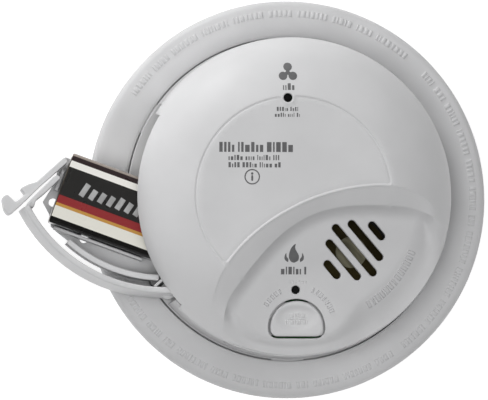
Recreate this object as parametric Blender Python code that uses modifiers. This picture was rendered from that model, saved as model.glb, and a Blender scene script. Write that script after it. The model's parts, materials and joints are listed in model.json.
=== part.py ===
"""Combined smoke and carbon monoxide alarm with its battery drawer swung open.

The alarm lies on its back: z = 0 is the wall or ceiling plane, +Z points into the
room, +Y is up on the face and the origin is the centre of the mounting bracket.
All dimensions are in millimetres and every builder turns them into metres.
"""

import math

import bmesh
import bpy
from mathutils import Matrix, Vector

MM = 0.001
GAP = 0.3

# Mounting bracket
BRACKET_R = 73.0
BRACKET_INNER_R = 59.3
BRACKET_TOP = 6.4
WEB_INNER_R = 37.0
WEB_T = 1.6
BOX_SCREW_R = 44.45
LUG_ANGLES = (30, 150, 270)
LUG_HALF_DEG = 5.8
UNLOCK_DEG = 15.0

# Rear housing
HOUSING_R = 58.9
HOUSING_BACK = 1.9
FLOOR_TOP = 3.7
FLANGE_TOP = 7.0
WALL_TOP = 27.4
WALL_T = 1.8
WALL_FOOT_R = 58.5
WALL_HEAD_R = 56.6
DRAWER_BAY_DEG = (143.5, 221.5)

# Front cover
COVER_R = 58.0
LIP_Z = 27.8
CROWN_H = 24.3
FACE_Z = 49.5
CROWN_POWER = 3.2
FLAT_SHARE = 0.55
COVER_T = 2.2
COVER_BAY_DEG = (149.0, 224.3)
BAY_TOP = 34.6
BASIN_Z = 40.8
BASIN_FALL = 0.0586
BASIN_DIRECTION = (0.6, -0.8)

# The crescent recess: where its steep wall leaves the dome, and where it meets the floor
CRESCENT_CREST = (
    (-29.9, -41.0), (-27.8, -30.2), (-23.1, -22.6), (-17.0, -15.9), (-9.9, -10.1), (-2.2, -5.4),
    (5.9, -1.6), (14.5, 1.1), (23.4, 2.8), (32.6, 3.2), (41.4, 1.8), (50.5, -4.0),
)
CRESCENT_FOOT = (
    (-25.8, -47.5), (-24.4, -38.4), (-19.9, -31.0), (-14.3, -23.8), (-8.1, -16.9), (-1.2, -11.1),
    (6.5, -6.9), (15.0, -4.5), (24.1, -3.6), (33.3, -3.7), (42.1, -4.6), (50.4, -7.8),
)
CRESCENT_FAR = ((78.0, -20.0), (60.0, -60.0), (0.0, -80.0), (-30.0, -70.0))
CRESCENT_TOP = 56.0

# Face features
BUTTON_CENTRE = (0.8, -44.4)
BUTTON_HALF = (9.6, 6.4)
BUTTON_GAP = 0.7
BUTTON_CORNER = 2.6
BUTTON_TOP = 39.9
SLOT_CENTRE = (21.7, -19.7)
SLOT_PITCH = 5.35
SLOT_ROW_DEG = 41.0
SLOT_DEG = -49.7
SLOT_LENGTHS = (8.0, 18.4, 23.8, 18.4, 8.0)
SLOT_W = 2.9
CO_LIGHT = (-3.1, 34.8)
POWER_LIGHT = (0.4, -34.0)

# Circuit board and what hangs on it
BOARD_Z = 29.0
BOARD_TOP = 30.6
BOARD_R = 52.0
POST_R = 47.0
POST_ANGLES = (5, 75, 300)
CHAMBER_CENTRE = (24.5, 20.5)
CO_CELL_CENTRE = (32.0, -19.0)
SOCKET_CENTRE = (2.0, 0.0)

# Battery drawer, drawn open; it shuts by turning -55 degrees about its pin
PIN = (-44.5, -33.9)
SHUT_DEG = -55.0
DRAWER_FLOOR = 8.0
DRAWER_FLOOR_T = 1.6
DRAWER_TOP = 27.0
DRAWER_WALL_TOP = 33.8
DRAWER_WALL_FOOT_R = 58.5
DRAWER_WALL_HEAD_R = 57.1
DRAWER_WALL_DEG = (207.3, 273.1)
DRAWER_WALL_T = 2.2
INNER_WALL_R = 52.4
INNER_WALL_DEG = (228.0, 268.3)
INNER_WALL_TOP = 24.0
KNUCKLE_TOP = 22.0
KNUCKLE_R = 3.0
PIN_R = 1.3
BATTERY_L = 48.5
BATTERY_W = 26.5
BATTERY_T = 17.2
BATTERY_Z = 9.9
BATTERY_DEG = -20.0
BATTERY_CORNER = (-88.4, -9.1)
TERMINAL_SPACING = 12.7
LATCH_ROOT = (-81.4, 13.3)

PARTS = "smoke_and_co_alarm"
ROUND_STEPS = 64


def clear_scene():
    """Remove the objects that a new Blender file starts with."""
    for old in list(bpy.data.objects):
        bpy.data.objects.remove(old, do_unlink=True)


def collection(name):
    made = bpy.data.collections.new(name)
    bpy.context.scene.collection.children.link(made)
    return made


clear_scene()
PART_SET = collection(PARTS)
CUTTER_SET = collection("cutters")
FRAME_SET = collection("joint_axes")


def material(name, colour, roughness, metallic=0.0):
    made = bpy.data.materials.new(name)
    made.use_nodes = True
    shader = made.node_tree.nodes["Principled BSDF"]
    shader.inputs["Base Color"].default_value = (*colour, 1.0)
    shader.inputs["Roughness"].default_value = roughness
    shader.inputs["Metallic"].default_value = metallic
    return made


WHITE = material("moulded_white_plastic", (0.62, 0.62, 0.62), 0.5)
GREY = material("moulded_grey_plastic", (0.5, 0.5, 0.5), 0.55)
BOARD_GREEN = material("solder_mask", (0.05, 0.2, 0.09), 0.5)
BLACK = material("black_plastic", (0.02, 0.02, 0.02), 0.45)
CLEAR = material("clear_acrylic", (0.3, 0.3, 0.28), 0.1)
STEEL = material("plated_steel", (0.6, 0.6, 0.6), 0.3, 1.0)
BRASS = material("brass", (0.6, 0.45, 0.2), 0.35, 1.0)
LABEL = material("battery_sleeve", (0.05, 0.05, 0.05), 0.3)
FILM = material("film_capacitor_yellow", (0.65, 0.45, 0.05), 0.5)
PAPER = material("label_stock", (0.7, 0.7, 0.68), 0.6)
CERAMIC = material("ceramic", (0.7, 0.68, 0.6), 0.5)


def axis_empty(name, place, parent=None):
    """An empty on a joint axis; the pieces that move together hang from it."""
    made = bpy.data.objects.new(name, None)
    FRAME_SET.objects.link(made)
    made.matrix_world = Matrix.Translation(Vector(place) * MM)
    if parent:
        hang(made, parent)
    return made


def hang(child, parent):
    """Parent without moving the child."""
    bpy.context.view_layer.update()
    child.parent = parent
    child.matrix_parent_inverse = parent.matrix_world.inverted()


def add(name, mesh, finish, axis):
    """Put a mesh in the scene as a part that rides on a joint axis."""
    made = bpy.data.objects.new(name, mesh)
    PART_SET.objects.link(made)
    made.data.materials.append(finish)
    hang(made, axis)
    return made


def cutter(name, mesh):
    made = bpy.data.objects.new(name, mesh)
    CUTTER_SET.objects.link(made)
    made.hide_render = True
    made.display_type = "WIRE"
    return made


def boolean(target, tool, operation):
    step = target.modifiers.new(operation.lower(), "BOOLEAN")
    step.operation = operation
    step.solver = "EXACT"
    step.object = tool


def cut(target, *meshes):
    for mesh in meshes:
        boolean(target, cutter(f"{target.name}_cut", mesh), "DIFFERENCE")


def join(target, *meshes):
    for mesh in meshes:
        boolean(target, cutter(f"{target.name}_join", mesh), "UNION")


def baked(made):
    """The evaluated mesh of a scratch object, which is then removed."""
    bpy.context.view_layer.update()
    graph = bpy.context.evaluated_depsgraph_get()
    mesh = bpy.data.meshes.new_from_object(made.evaluated_get(graph))
    bm = bmesh.new()
    bm.from_mesh(mesh)
    bmesh.ops.remove_doubles(bm, verts=bm.verts, dist=0.000001)
    bm.to_mesh(mesh)
    bm.free()
    mesh.transform(made.matrix_world)
    bpy.data.objects.remove(made, do_unlink=True)
    return mesh


def smooth(mesh, angle=35):
    mesh.shade_smooth()
    mesh.set_sharp_from_angle(angle=math.radians(angle))
    return mesh


def turned(profile, centre=(0, 0), steps=ROUND_STEPS, closed=False):
    """A profile of (radius, z) points, outer side running down, turned about +Z."""
    mesh = bpy.data.meshes.new("profile")
    edges = [(i, i + 1) for i in range(len(profile) - 1)]
    if closed:
        edges.append((len(profile) - 1, 0))
    mesh.from_pydata([(r * MM, 0, z * MM) for r, z in profile], edges, [])
    made = bpy.data.objects.new("turning", mesh)
    CUTTER_SET.objects.link(made)
    screw = made.modifiers.new("turn", "SCREW")
    screw.steps = steps
    screw.render_steps = steps
    screw.use_merge_vertices = True
    screw.merge_threshold = 0.00001
    made.location = (centre[0] * MM, centre[1] * MM, 0)
    return smooth(baked(made))


def plate(outlines, low, high):
    """Flat closed outlines (the inner ones are holes) filled and given a thickness."""
    curve = bpy.data.curves.new("outline", "CURVE")
    curve.dimensions = "2D"
    curve.fill_mode = "BOTH"
    curve.resolution_u = 1
    curve.extrude = (high - low) / 2 * MM
    for outline in outlines:
        spline = curve.splines.new("POLY")
        spline.points.add(len(outline) - 1)
        for point, (x, y) in zip(spline.points, outline):
            point.co = (x * MM, y * MM, 0, 1)
        spline.use_cyclic_u = True
    made = bpy.data.objects.new("plate", curve)
    CUTTER_SET.objects.link(made)
    made.location.z = (low + high) / 2 * MM
    return baked(made)


def rod(radius, low, high, centre=(0, 0), sides=20, top_radius=None):
    mesh = bpy.data.meshes.new("rod")
    bm = bmesh.new()
    top = radius if top_radius is None else top_radius
    bmesh.ops.create_cone(
        bm, cap_ends=True, segments=sides, radius1=radius * MM, radius2=top * MM, depth=(high - low) * MM
    )
    place = Vector((centre[0], centre[1], (low + high) / 2)) * MM
    bmesh.ops.translate(bm, verts=bm.verts, vec=place)
    bm.to_mesh(mesh)
    bm.free()
    return smooth(mesh)


def block(low, high, turn_deg=0.0, centre=(0, 0), round_mm=0.0):
    """A box between two corners, turned about +Z and then moved to a centre."""
    mesh = bpy.data.meshes.new("block")
    bm = bmesh.new()
    bmesh.ops.create_cube(bm, size=MM)
    low, high = Vector(low), Vector(high)
    bmesh.ops.scale(bm, verts=bm.verts, vec=high - low)
    bmesh.ops.translate(bm, verts=bm.verts, vec=(low + high) / 2 * MM)
    if round_mm:
        bmesh.ops.bevel(
            bm, geom=bm.edges[:], offset=round_mm * MM, segments=2, profile=0.5, affect="EDGES"
        )
    turn = Matrix.Rotation(math.radians(turn_deg), 3, "Z")
    bmesh.ops.rotate(bm, verts=bm.verts, cent=(0, 0, 0), matrix=turn)
    bmesh.ops.translate(bm, verts=bm.verts, vec=Vector((*centre, 0)) * MM)
    bm.to_mesh(mesh)
    bm.free()
    return mesh


def polar(radius, degrees, centre=(0, 0)):
    angle = math.radians(degrees)
    return (centre[0] + radius * math.cos(angle), centre[1] + radius * math.sin(angle))


def arc(radius, start, end, centre=(0, 0), step=4.0):
    """Points along a circle from one angle to another."""
    count = max(2, math.ceil(abs(end - start) / step) + 1)
    return [polar(radius, start + (end - start) * i / (count - 1), centre) for i in range(count)]


def sector(inner, outer, start, end, centre=(0, 0), step=4.0):
    return arc(outer, start, end, centre, step) + arc(inner, end, start, centre, step)


def capsule(centre, length, width, degrees, points=7):
    """The outline of a slot with round ends."""
    reach = (length - width) / 2
    ahead = polar(reach, degrees, centre)
    behind = polar(-reach, degrees, centre)
    turn = 180 / (points - 1)
    front = arc(width / 2, degrees - 90, degrees + 90, ahead, turn)
    back = arc(width / 2, degrees + 90, degrees + 270, behind, turn)
    return front + back


def turned_point(point, degrees, about=(0, 0)):
    dx, dy = point[0] - about[0], point[1] - about[1]
    c, s = math.cos(math.radians(degrees)), math.sin(math.radians(degrees))
    return (about[0] + dx * c - dy * s, about[1] + dx * s + dy * c)


def cylinder_wall(foot, head, low, high, thick, start, end, centre, step=5.0):
    """A wall that follows an arc and leans from its foot radius to its head radius."""
    mesh = bpy.data.meshes.new("arc_wall")
    bm = bmesh.new()
    rings = []
    for inset, level, radius in (
        (0, low, foot), (0, high, head), (thick, high, head), (thick, low, foot)
    ):
        points = arc(radius - inset, start, end, centre, step)
        rings.append([bm.verts.new(Vector((x, y, level)) * MM) for x, y in points])
    for one, other in zip(rings, rings[1:] + rings[:1]):
        for i in range(len(one) - 1):
            bm.faces.new((one[i], one[i + 1], other[i + 1], other[i]))
    bm.faces.new([ring[0] for ring in rings])
    bm.faces.new([ring[-1] for ring in reversed(rings)])
    bmesh.ops.recalc_face_normals(bm, faces=bm.faces)
    bm.to_mesh(mesh)
    bm.free()
    return mesh


def crown(radius, inset=0.0):
    """Height of the dome at a radius, or of its inner skin."""
    share = min(1.0, radius / (COVER_R - inset))
    return min(FACE_Z - inset, LIP_Z + (CROWN_H - inset) * math.sqrt(1 - share**CROWN_POWER))


def basin(x, y):
    """Height of the sloping floor of the crescent recess."""
    along = x * BASIN_DIRECTION[0] + y * BASIN_DIRECTION[1]
    return BASIN_Z - BASIN_FALL * along


def dome_profile(inset, steps=10):
    """Outline of the dome from its crown down to its lip; the middle of the face is flat."""
    outline = [(0.0, crown(0.0, inset))]
    for i in range(steps + 1):
        share = FLAT_SHARE + (1 - FLAT_SHARE) * math.sin(math.radians(90) * i / steps)
        radius = (COVER_R - inset) * share
        outline.append((radius, crown(radius, inset)))
    return outline


def crescent_mesh(grow):
    """A loft from the crescent's floor up past the dome, grown outwards by a wall's thickness."""
    mesh = bpy.data.meshes.new("crescent")
    bm = bmesh.new()
    lower, upper = [], []
    for (fx, fy), (cx, cy) in zip(CRESCENT_FOOT, CRESCENT_CREST):
        floor, rim = basin(fx, fy), crown(math.hypot(cx, cy))
        out = Vector((cx - fx, cy - fy)).normalized() * grow
        reach = (CRESCENT_TOP - floor) / (rim - floor)
        lower.append((fx + out.x, fy + out.y, floor - grow))
        upper.append((fx + (cx - fx) * reach + out.x, fy + (cy - fy) * reach + out.y, CRESCENT_TOP))
    for x, y in CRESCENT_FAR:
        lower.append((x, y, basin(x, y) - grow))
        upper.append((x, y, CRESCENT_TOP))
    bottom = [bm.verts.new(Vector(p) * MM) for p in lower]
    rim_ring = [bm.verts.new(Vector(p) * MM) for p in upper]
    count = len(bottom)
    for i in range(count):
        j = (i + 1) % count
        bm.faces.new((bottom[i], bottom[j], rim_ring[j], rim_ring[i]))
    bm.faces.new(bottom)
    bm.faces.new(rim_ring)
    bmesh.ops.triangulate(bm, faces=bm.faces)
    bmesh.ops.recalc_face_normals(bm, faces=bm.faces)
    bm.to_mesh(mesh)
    bm.free()
    return mesh


def button_outline(grow=0.0):
    """A letter D on its back: a round top and a flat bottom with rounded corners."""
    half_w, half_h = BUTTON_HALF[0] + grow, BUTTON_HALF[1] + grow
    corner = BUTTON_CORNER + grow
    cx, cy = BUTTON_CENTRE
    base = cy - half_h
    spring = base + corner + 0.6
    rise = cy + half_h - spring
    turns = [math.radians(a) for a in range(0, 181, 15)]
    top = [(cx + half_w * math.cos(a), spring + rise * math.sin(a)) for a in turns]
    left = arc(corner, 180, 270, (cx - half_w + corner, base + corner), 30)
    right = arc(corner, 270, 360, (cx + half_w - corner, base + corner), 30)
    return top + left + right


def slot_outlines():
    outlines = []
    for number, length in enumerate(SLOT_LENGTHS):
        centre = polar((number - 2) * SLOT_PITCH, SLOT_ROW_DEG, SLOT_CENTRE)
        outlines.append(capsule(centre, length, SLOT_W, SLOT_DEG))
    return outlines


ROOT = axis_empty("bracket_frame", (0, 0, 0))
ALARM = axis_empty("twist_lock_axis", (0, 0, 0), ROOT)
DRAWER = axis_empty("drawer_axis", (*PIN, 0), ALARM)
LATCH = axis_empty("latch_axis", (*LATCH_ROOT, 0), DRAWER)
BUTTON = axis_empty("button_axis", (*BUTTON_CENTRE, BUTTON_TOP), ALARM)


def build_bracket():
    """The trim ring with its wall web, box-screw slots and three bayonet lugs."""
    profile = [
        (60.2, BRACKET_TOP), (69.0, 6.2), (71.7, 5.0), (BRACKET_R, 2.6), (BRACKET_R, 0.0), (71.2, 0.0),
        (71.2, 2.2), (70.2, 3.6), (68.6, 4.4), (61.1, 4.6), (61.1, 0.0), (WEB_INNER_R, 0.0),
        (WEB_INNER_R, WEB_T), (BRACKET_INNER_R, WEB_T), (BRACKET_INNER_R, 5.6),
    ]
    ring = add("mounting_bracket", turned(profile, closed=True), WHITE, ROOT)
    lugs = [
        plate([sector(57.4, 60.3, a - LUG_HALF_DEG, a + LUG_HALF_DEG)], 4.3, 5.3) for a in LUG_ANGLES
    ]
    join(ring, *lugs)
    for a in (0, 90, 180, 270):
        arc_slot = sector(BOX_SCREW_R - 2.3, BOX_SCREW_R + 2.3, a - 12, a + 12)
        keyhole = rod(4.4, -1, 3, polar(BOX_SCREW_R, a + 12), 16)
        cut(ring, plate([arc_slot], -1, 3), keyhole)


def build_rear_housing():
    """The pan that holds the works: flat back, bayonet flange and leaning side wall."""
    profile = [
        (0.0, FLOOR_TOP), (54.3, FLOOR_TOP), (54.3, FLANGE_TOP), (WALL_FOOT_R - WALL_T, FLANGE_TOP),
        (WALL_HEAD_R - WALL_T, WALL_TOP), (WALL_HEAD_R, WALL_TOP), (WALL_FOOT_R, FLANGE_TOP + 0.5),
        (HOUSING_R, FLANGE_TOP), (HOUSING_R, HOUSING_BACK), (0.0, HOUSING_BACK),
    ]
    pan = add("rear_housing", turned(profile), GREY, ALARM)
    posts = [rod(3.0, FLOOR_TOP - 0.8, BOARD_Z - GAP, polar(POST_R, a), 16) for a in POST_ANGLES]
    join(pan, *posts)
    cuts = [plate([sector(51.0, 63.0, *DRAWER_BAY_DEG)], FLANGE_TOP, 31.0)]
    for a in LUG_ANGLES:
        cuts.append(plate([sector(57.0, 61.0, a - UNLOCK_DEG - 7, a + 7)], 3.9, 5.7))
        cuts.append(plate([sector(57.0, 61.0, a - UNLOCK_DEG - 7, a - UNLOCK_DEG + 7)], 1.0, 4.5))
    cuts += [block((-9.6, -6.6, 1), (9.6, 6.6, 5), 0, SOCKET_CENTRE)]
    cuts += [rod(1.5, 14.0, 31.0, polar(POST_R, a), 12) for a in POST_ANGLES]
    cuts += [rod(PIN_R + GAP, 4.0, 9.0, PIN, 16)]
    for a in list(range(-60, 130, 19)) + [252, 271]:
        cuts.append(block((-4, -6.5, 12), (4, 6.5, 22), a, polar(57.0, a)))
    cut(pan, *cuts)


def build_front_cover():
    """The dome with its crescent recess, sounder slots, light holes and button opening."""
    shell = add("front_cover", turned(dome_profile(0.0) + [(0.0, LIP_Z)]), WHITE, ALARM)
    hollow = turned([(r, z if z > LIP_Z + 0.01 else LIP_Z) for r, z in dome_profile(COVER_T)][:-1] + [
        (COVER_R - COVER_T, LIP_Z + 2.0), (COVER_R - COVER_T, LIP_Z - 4.0), (0.0, LIP_Z - 4.0)
    ])
    inside = cutter("cover_inside", hollow)
    boolean(inside, cutter("crescent_wall", crescent_mesh(COVER_T)), "DIFFERENCE")
    boolean(shell, inside, "DIFFERENCE")
    openings = [plate([button_outline(BUTTON_GAP)], 30.0, 50.0)]
    openings += [plate([outline], 30.0, 50.0) for outline in slot_outlines()]
    openings += [rod(1.7, 30.0, 52.0, CO_LIGHT, 16), rod(1.6, 30.0, 52.0, POWER_LIGHT, 16)]
    bay = plate([sector(51.0, 62.0, *COVER_BAY_DEG)], LIP_Z - 2.0, BAY_TOP)
    cut(shell, crescent_mesh(0.0), bay, *openings)


def build_button():
    """The test and silence button: cap, retaining flange and the switch it presses."""
    cap = add("test_button", plate([button_outline()], 35.0, BUTTON_TOP), WHITE, BUTTON)
    cx, cy = BUTTON_CENTRE
    join(cap, block((-10.8, -6.0, 34.2), (10.8, 6.0, 35.3), 0, (cx, cy)))
    dish = bpy.data.meshes.new("dish")
    bm = bmesh.new()
    bmesh.ops.create_uvsphere(bm, u_segments=24, v_segments=16, radius=30 * MM)
    bmesh.ops.translate(bm, verts=bm.verts, vec=Vector((cx, cy + 0.6, BUTTON_TOP + 29.3)) * MM)
    bm.to_mesh(dish)
    bm.free()
    cut(cap, dish)
    add("switch_body", block((-3, -3, BOARD_TOP + GAP), (3, 3, 32.1), 0, (cx, cy), 0.3), BLACK, ALARM)
    add("switch_plunger", rod(1.6, 32.1 + GAP, 32.8, (cx, cy), 12), GREY, ALARM)


def build_spring():
    """The coil that lifts the button again."""
    turns, wire, radius = 3.5, 0.25, 5.2
    low, high = BOARD_TOP + GAP + wire, 34.2 - GAP - wire
    per_turn = 14
    count = int(turns * per_turn)
    curve = bpy.data.curves.new("button_spring", "CURVE")
    curve.dimensions = "3D"
    curve.bevel_depth = wire * MM
    curve.bevel_resolution = 2
    curve.use_fill_caps = True
    spline = curve.splines.new("POLY")
    spline.points.add(count)
    for i, point in enumerate(spline.points):
        x, y = polar(radius, 360 * i / per_turn, BUTTON_CENTRE)
        point.co = (x * MM, y * MM, (low + (high - low) * i / count) * MM, 1)
    made = bpy.data.objects.new("button_spring", curve)
    CUTTER_SET.objects.link(made)
    add("button_spring", smooth(baked(made)), STEEL, ALARM)


def build_board():
    """The circuit board, its screws and the small components on it."""
    board = add("circuit_board", rod(BOARD_R, BOARD_Z, BOARD_TOP, (0, 0), 64), BOARD_GREEN, ALARM)
    cut(board, *[rod(1.6, 20, 40, polar(POST_R, a), 12) for a in POST_ANGLES])
    top = BOARD_TOP + GAP
    screw = [(0, 32.4), (1.6, 32.4), (2.6, 31.6), (2.6, top), (1.2, top), (1.2, 19.0), (0, 18.4)]
    for number, a in enumerate(POST_ANGLES):
        add(f"board_screw_{number + 1}", turned(screw, polar(POST_R, a), 16), STEEL, ALARM)
    add("controller_chip", block((-5, -3.8, top), (5, 3.8, top + 2.2), 0, (-18, 8), 0.4), BLACK, ALARM)
    add("sensor_chip", block((-5, -3.2, top), (5, 3.2, top + 2.2), 90, (12, 14), 0.4), BLACK, ALARM)
    flange = top + 0.8
    lamp = [(0, 34.0), (0.9, 33.7), (1.5, 32.8), (1.5, flange), (1.8, flange), (1.8, top), (0, top)]
    for name, place, height in (("power", POWER_LIGHT, 38.6), ("co", CO_LIGHT, 46.6)):
        add(f"{name}_light", turned(lamp, place, 16), CLEAR, ALARM)
        add(f"{name}_light_pipe", rod(1.3, 34.3, height, place, 16, 1.2), CLEAR, ALARM)
    below = BOARD_Z - GAP
    add("film_capacitor", block((-9, -4, below - 15), (9, 4, below), 0, (3, -15), 0.6), FILM, ALARM)
    for number, place in enumerate(((16.5, -30.0), (5.5, -28.5))):
        add(f"electrolytic_capacitor_{number + 1}", rod(4.0, below - 12, below, place, 18), BLACK, ALARM)
    add("surge_absorber", rod(5.0, below - 5, below, (3, 25), 18), FILM, ALARM)
    add("interconnect_relay", block((-5, -4, below - 10), (5, 4, below), 0, (-2, 37), 0.5), BLACK, ALARM)


def build_sensors():
    """The smoke chamber and the carbon monoxide cell under the board."""
    below = BOARD_Z - GAP
    foot = below - 4.4
    base = [(0, below), (15.0, below), (15.0, below - 3), (13.0, below - 3), (13.0, foot), (0, foot)]
    add("smoke_chamber_base", turned(base, CHAMBER_CENTRE, 36), BLACK, ALARM)
    rim = foot - GAP
    cup = [
        (0, 7.0), (12.4, 7.0), (13.4, 8.4), (13.4, rim), (15.0, rim), (15.0, 8.0), (13.0, 5.6), (0, 5.6)
    ]
    cap = add("smoke_chamber_cap", turned(cup, CHAMBER_CENTRE, 32), BLACK, ALARM)
    for a in range(0, 360, 45):
        cut(cap, block((-2, -3.6, 10), (2, 3.6, 22), a, polar(14.2, a, CHAMBER_CENTRE)))
    add("source_holder", rod(4.0, 22.6, rim, CHAMBER_CENTRE, 20), STEEL, ALARM)
    add("collector_plate", rod(9.0, 15.0, 15.8, CHAMBER_CENTRE, 28), STEEL, ALARM)
    add("collector_post", rod(1.2, 15.8 + GAP, 22.6 - GAP, CHAMBER_CENTRE, 12), STEEL, ALARM)
    cell = [(0, below), (9.5, below), (9.5, 12.6), (9.0, 12.0), (0, 12.0)]
    add("co_cell", turned(cell, CO_CELL_CENTRE, 32), STEEL, ALARM)
    nose = [(0, 12.0 - GAP), (6.0, 12.0 - GAP), (6.0, 10.6), (5.4, 10.0), (0, 10.0)]
    add("co_cell_filter_cap", turned(nose, CO_CELL_CENTRE, 28), WHITE, ALARM)


def build_sounder():
    """The horn under the slots: resonator cup, brass disc, ceramic and its contact leaf."""
    bottom = BOARD_TOP + GAP
    cup = [
        (0, bottom + 1.2), (12.2, bottom + 1.2), (12.2, 35.6), (13.6, 35.6), (13.6, bottom), (0, bottom),
    ]
    add("horn_cup", turned(cup, SLOT_CENTRE, 40), BLACK, ALARM)
    add("horn_disc", rod(11.8, 32.5, 32.9, SLOT_CENTRE, 40), BRASS, ALARM)
    ceramic = polar(-0.9, SLOT_ROW_DEG, SLOT_CENTRE)
    add("horn_ceramic", rod(5.7, 33.2, 33.5, ceramic, 32), CERAMIC, ALARM)
    between_slots = polar(-SLOT_PITCH / 2, SLOT_ROW_DEG, SLOT_CENTRE)
    leaf = block((-10.0, -0.6, 33.8), (0.0, 0.6, 34.2), SLOT_DEG, between_slots)
    add("horn_contact_leaf", leaf, STEEL, ALARM)


def build_mains_socket():
    """The three-pin inlet in the back for the mains and interconnect lead."""
    box = block((-11.3, -7.8, FLOOR_TOP + GAP), (11.3, 7.8, 17.0), 0, SOCKET_CENTRE, 0.5)
    socket = add("mains_socket", box, BLACK, ALARM)
    cut(socket, block((-9.6, -6.6, 1.0), (9.6, 6.6, 14.0), 0, SOCKET_CENTRE))
    for name, shift in (("line", -5.0), ("neutral", 0.0), ("interconnect", 5.0)):
        x, y = SOCKET_CENTRE[0] + shift, SOCKET_CENTRE[1] - 3.6
        add(f"{name}_pin", block((-0.5, -1.5, 5.0), (0.5, 1.5, 13.7), 0, (x, y)), BRASS, ALARM)
    add("rear_label", block((-20, -8, 1.2), (20, 8, HOUSING_BACK - GAP), 0, (0, 22)), PAPER, ALARM)


def build_contacts():
    """The contact block that the shut battery's snaps press on, and the drawer's pin."""
    shut = BATTERY_DEG + SHUT_DEG
    end = turned_point(battery_point(BATTERY_L, BATTERY_W / 2), SHUT_DEG, PIN)
    block_place = polar(7.0, shut, end)
    body = block((-2.0, -13.5, 12.0), (2.0, 13.5, BOARD_Z - GAP), shut, block_place, 0.4)
    add("contact_block", body, BLACK, ALARM)
    for name, side in (("positive", 1), ("negative", -1)):
        place = turned_point((4.4, side * TERMINAL_SPACING / 2), shut)
        place = (end[0] + place[0], end[1] + place[1])
        leaf = block((-0.2, -3.4, 14.0), (0.2, 3.4, 24.0), shut, place)
        add(f"{name}_contact", leaf, STEEL, ALARM)
    add("drawer_pin", rod(PIN_R, 4.3, WALL_TOP, PIN, 16), STEEL, ALARM)


def battery_point(along, across):
    """A point on the battery's footprint, from its outer lower corner."""
    x, y = turned_point((along, across), BATTERY_DEG)
    return (BATTERY_CORNER[0] + x, BATTERY_CORNER[1] + y)


def build_drawer():
    """The swinging tray: knuckle, outer arc wall, inner arc wall, arms and floor."""
    centre = turned_point((0, 0), -SHUT_DEG, PIN)
    low, high = DRAWER_FLOOR, DRAWER_FLOOR + DRAWER_FLOOR_T
    floor = [
        (-89.9, -1.4), (-87.6, -5.8), (-86.9, -10.4), (-84.5, -12.6),
        *arc(50.6, 228.5, 262.0, centre, 5), (-46.0, -33.0), (-42.6, -31.0),
        battery_point(BATTERY_L - 2, 1.0), battery_point(BATTERY_L - 2, BATTERY_W - 1.5),
        battery_point(1.5, BATTERY_W - 1.5), (-81.6, 15.0), (-84.0, 12.4), (-85.6, 5.4),
    ]
    tray = add("battery_drawer", plate([floor], low, high), WHITE, DRAWER)
    outer = cylinder_wall(
        DRAWER_WALL_FOOT_R, DRAWER_WALL_HEAD_R, low, DRAWER_WALL_TOP, DRAWER_WALL_T, *DRAWER_WALL_DEG, centre
    )
    inner = cylinder_wall(
        INNER_WALL_R, INNER_WALL_R, low, INNER_WALL_TOP, DRAWER_WALL_T, *INNER_WALL_DEG, centre
    )
    knuckle = rod(KNUCKLE_R, low - 0.1, KNUCKLE_TOP, PIN, 20)
    gusset = [(-50.1, -32.3), (-47.3, -29.6), (-46.6, -30.3), (-49.4, -33.0)]
    bracket = plate([gusset], low + 0.2, DRAWER_TOP)
    arm_outline = [
        (-95.0, -1.2), (-86.5, 7.2), (-84.9, 7.7), (-83.8, 6.6), (-89.9, 0.9), (-93.0, -1.6), (-93.6, -4.2),
        (-96.8, -4.2),
    ]
    arm = plate([arm_outline], low - 0.1, DRAWER_TOP - 0.1)
    rib_angle = BATTERY_DEG
    rib = block((9.0, -1.4, high - 0.4), (36.0, -0.4, 14.0), rib_angle, BATTERY_CORNER)
    stop = block((-1.6, 12.0, high - 0.4), (-0.4, 20.0, 16.0), rib_angle, BATTERY_CORNER)
    web = plate([[(-52.0, -32.6), (-44.5, -31.2), (-43.0, -34.5), (-52.0, -35.8)]], low + 0.1, 12.0)
    join(tray, outer, inner, knuckle, arm, web, rib, stop, bracket)
    cut(
        tray,
        rod(PIN_R + GAP, 0, 40, PIN, 16),
        rod(1.5, 0, 20, (-86.2, -1.6), 12),
        rod(1.5, 0, 20, (-74.9, -14.9), 12),
    )


def build_latch():
    """The springy arm with its barb and finger hook beside the drawer's open end."""
    outline = [
        (-82.6, 14.3), (-87.2, 10.2), (-92.6, 5.3), (-95.6, 4.5), (-97.0, 3.9), (-98.4, 2.8), (-97.3, 0.6),
        (-100.2, -2.0), (-103.1, 0.6), (-104.5, 0.2), (-105.2, -0.8), (-104.2, -4.4), (-103.3, -6.1),
        (-102.4, -6.5), (-101.4, -5.9), (-97.5, -2.4), (-90.6, 4.4), (-81.2, 12.6),
    ]
    add("drawer_latch_arm", plate([outline], 10.0, 25.0), WHITE, LATCH)


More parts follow.
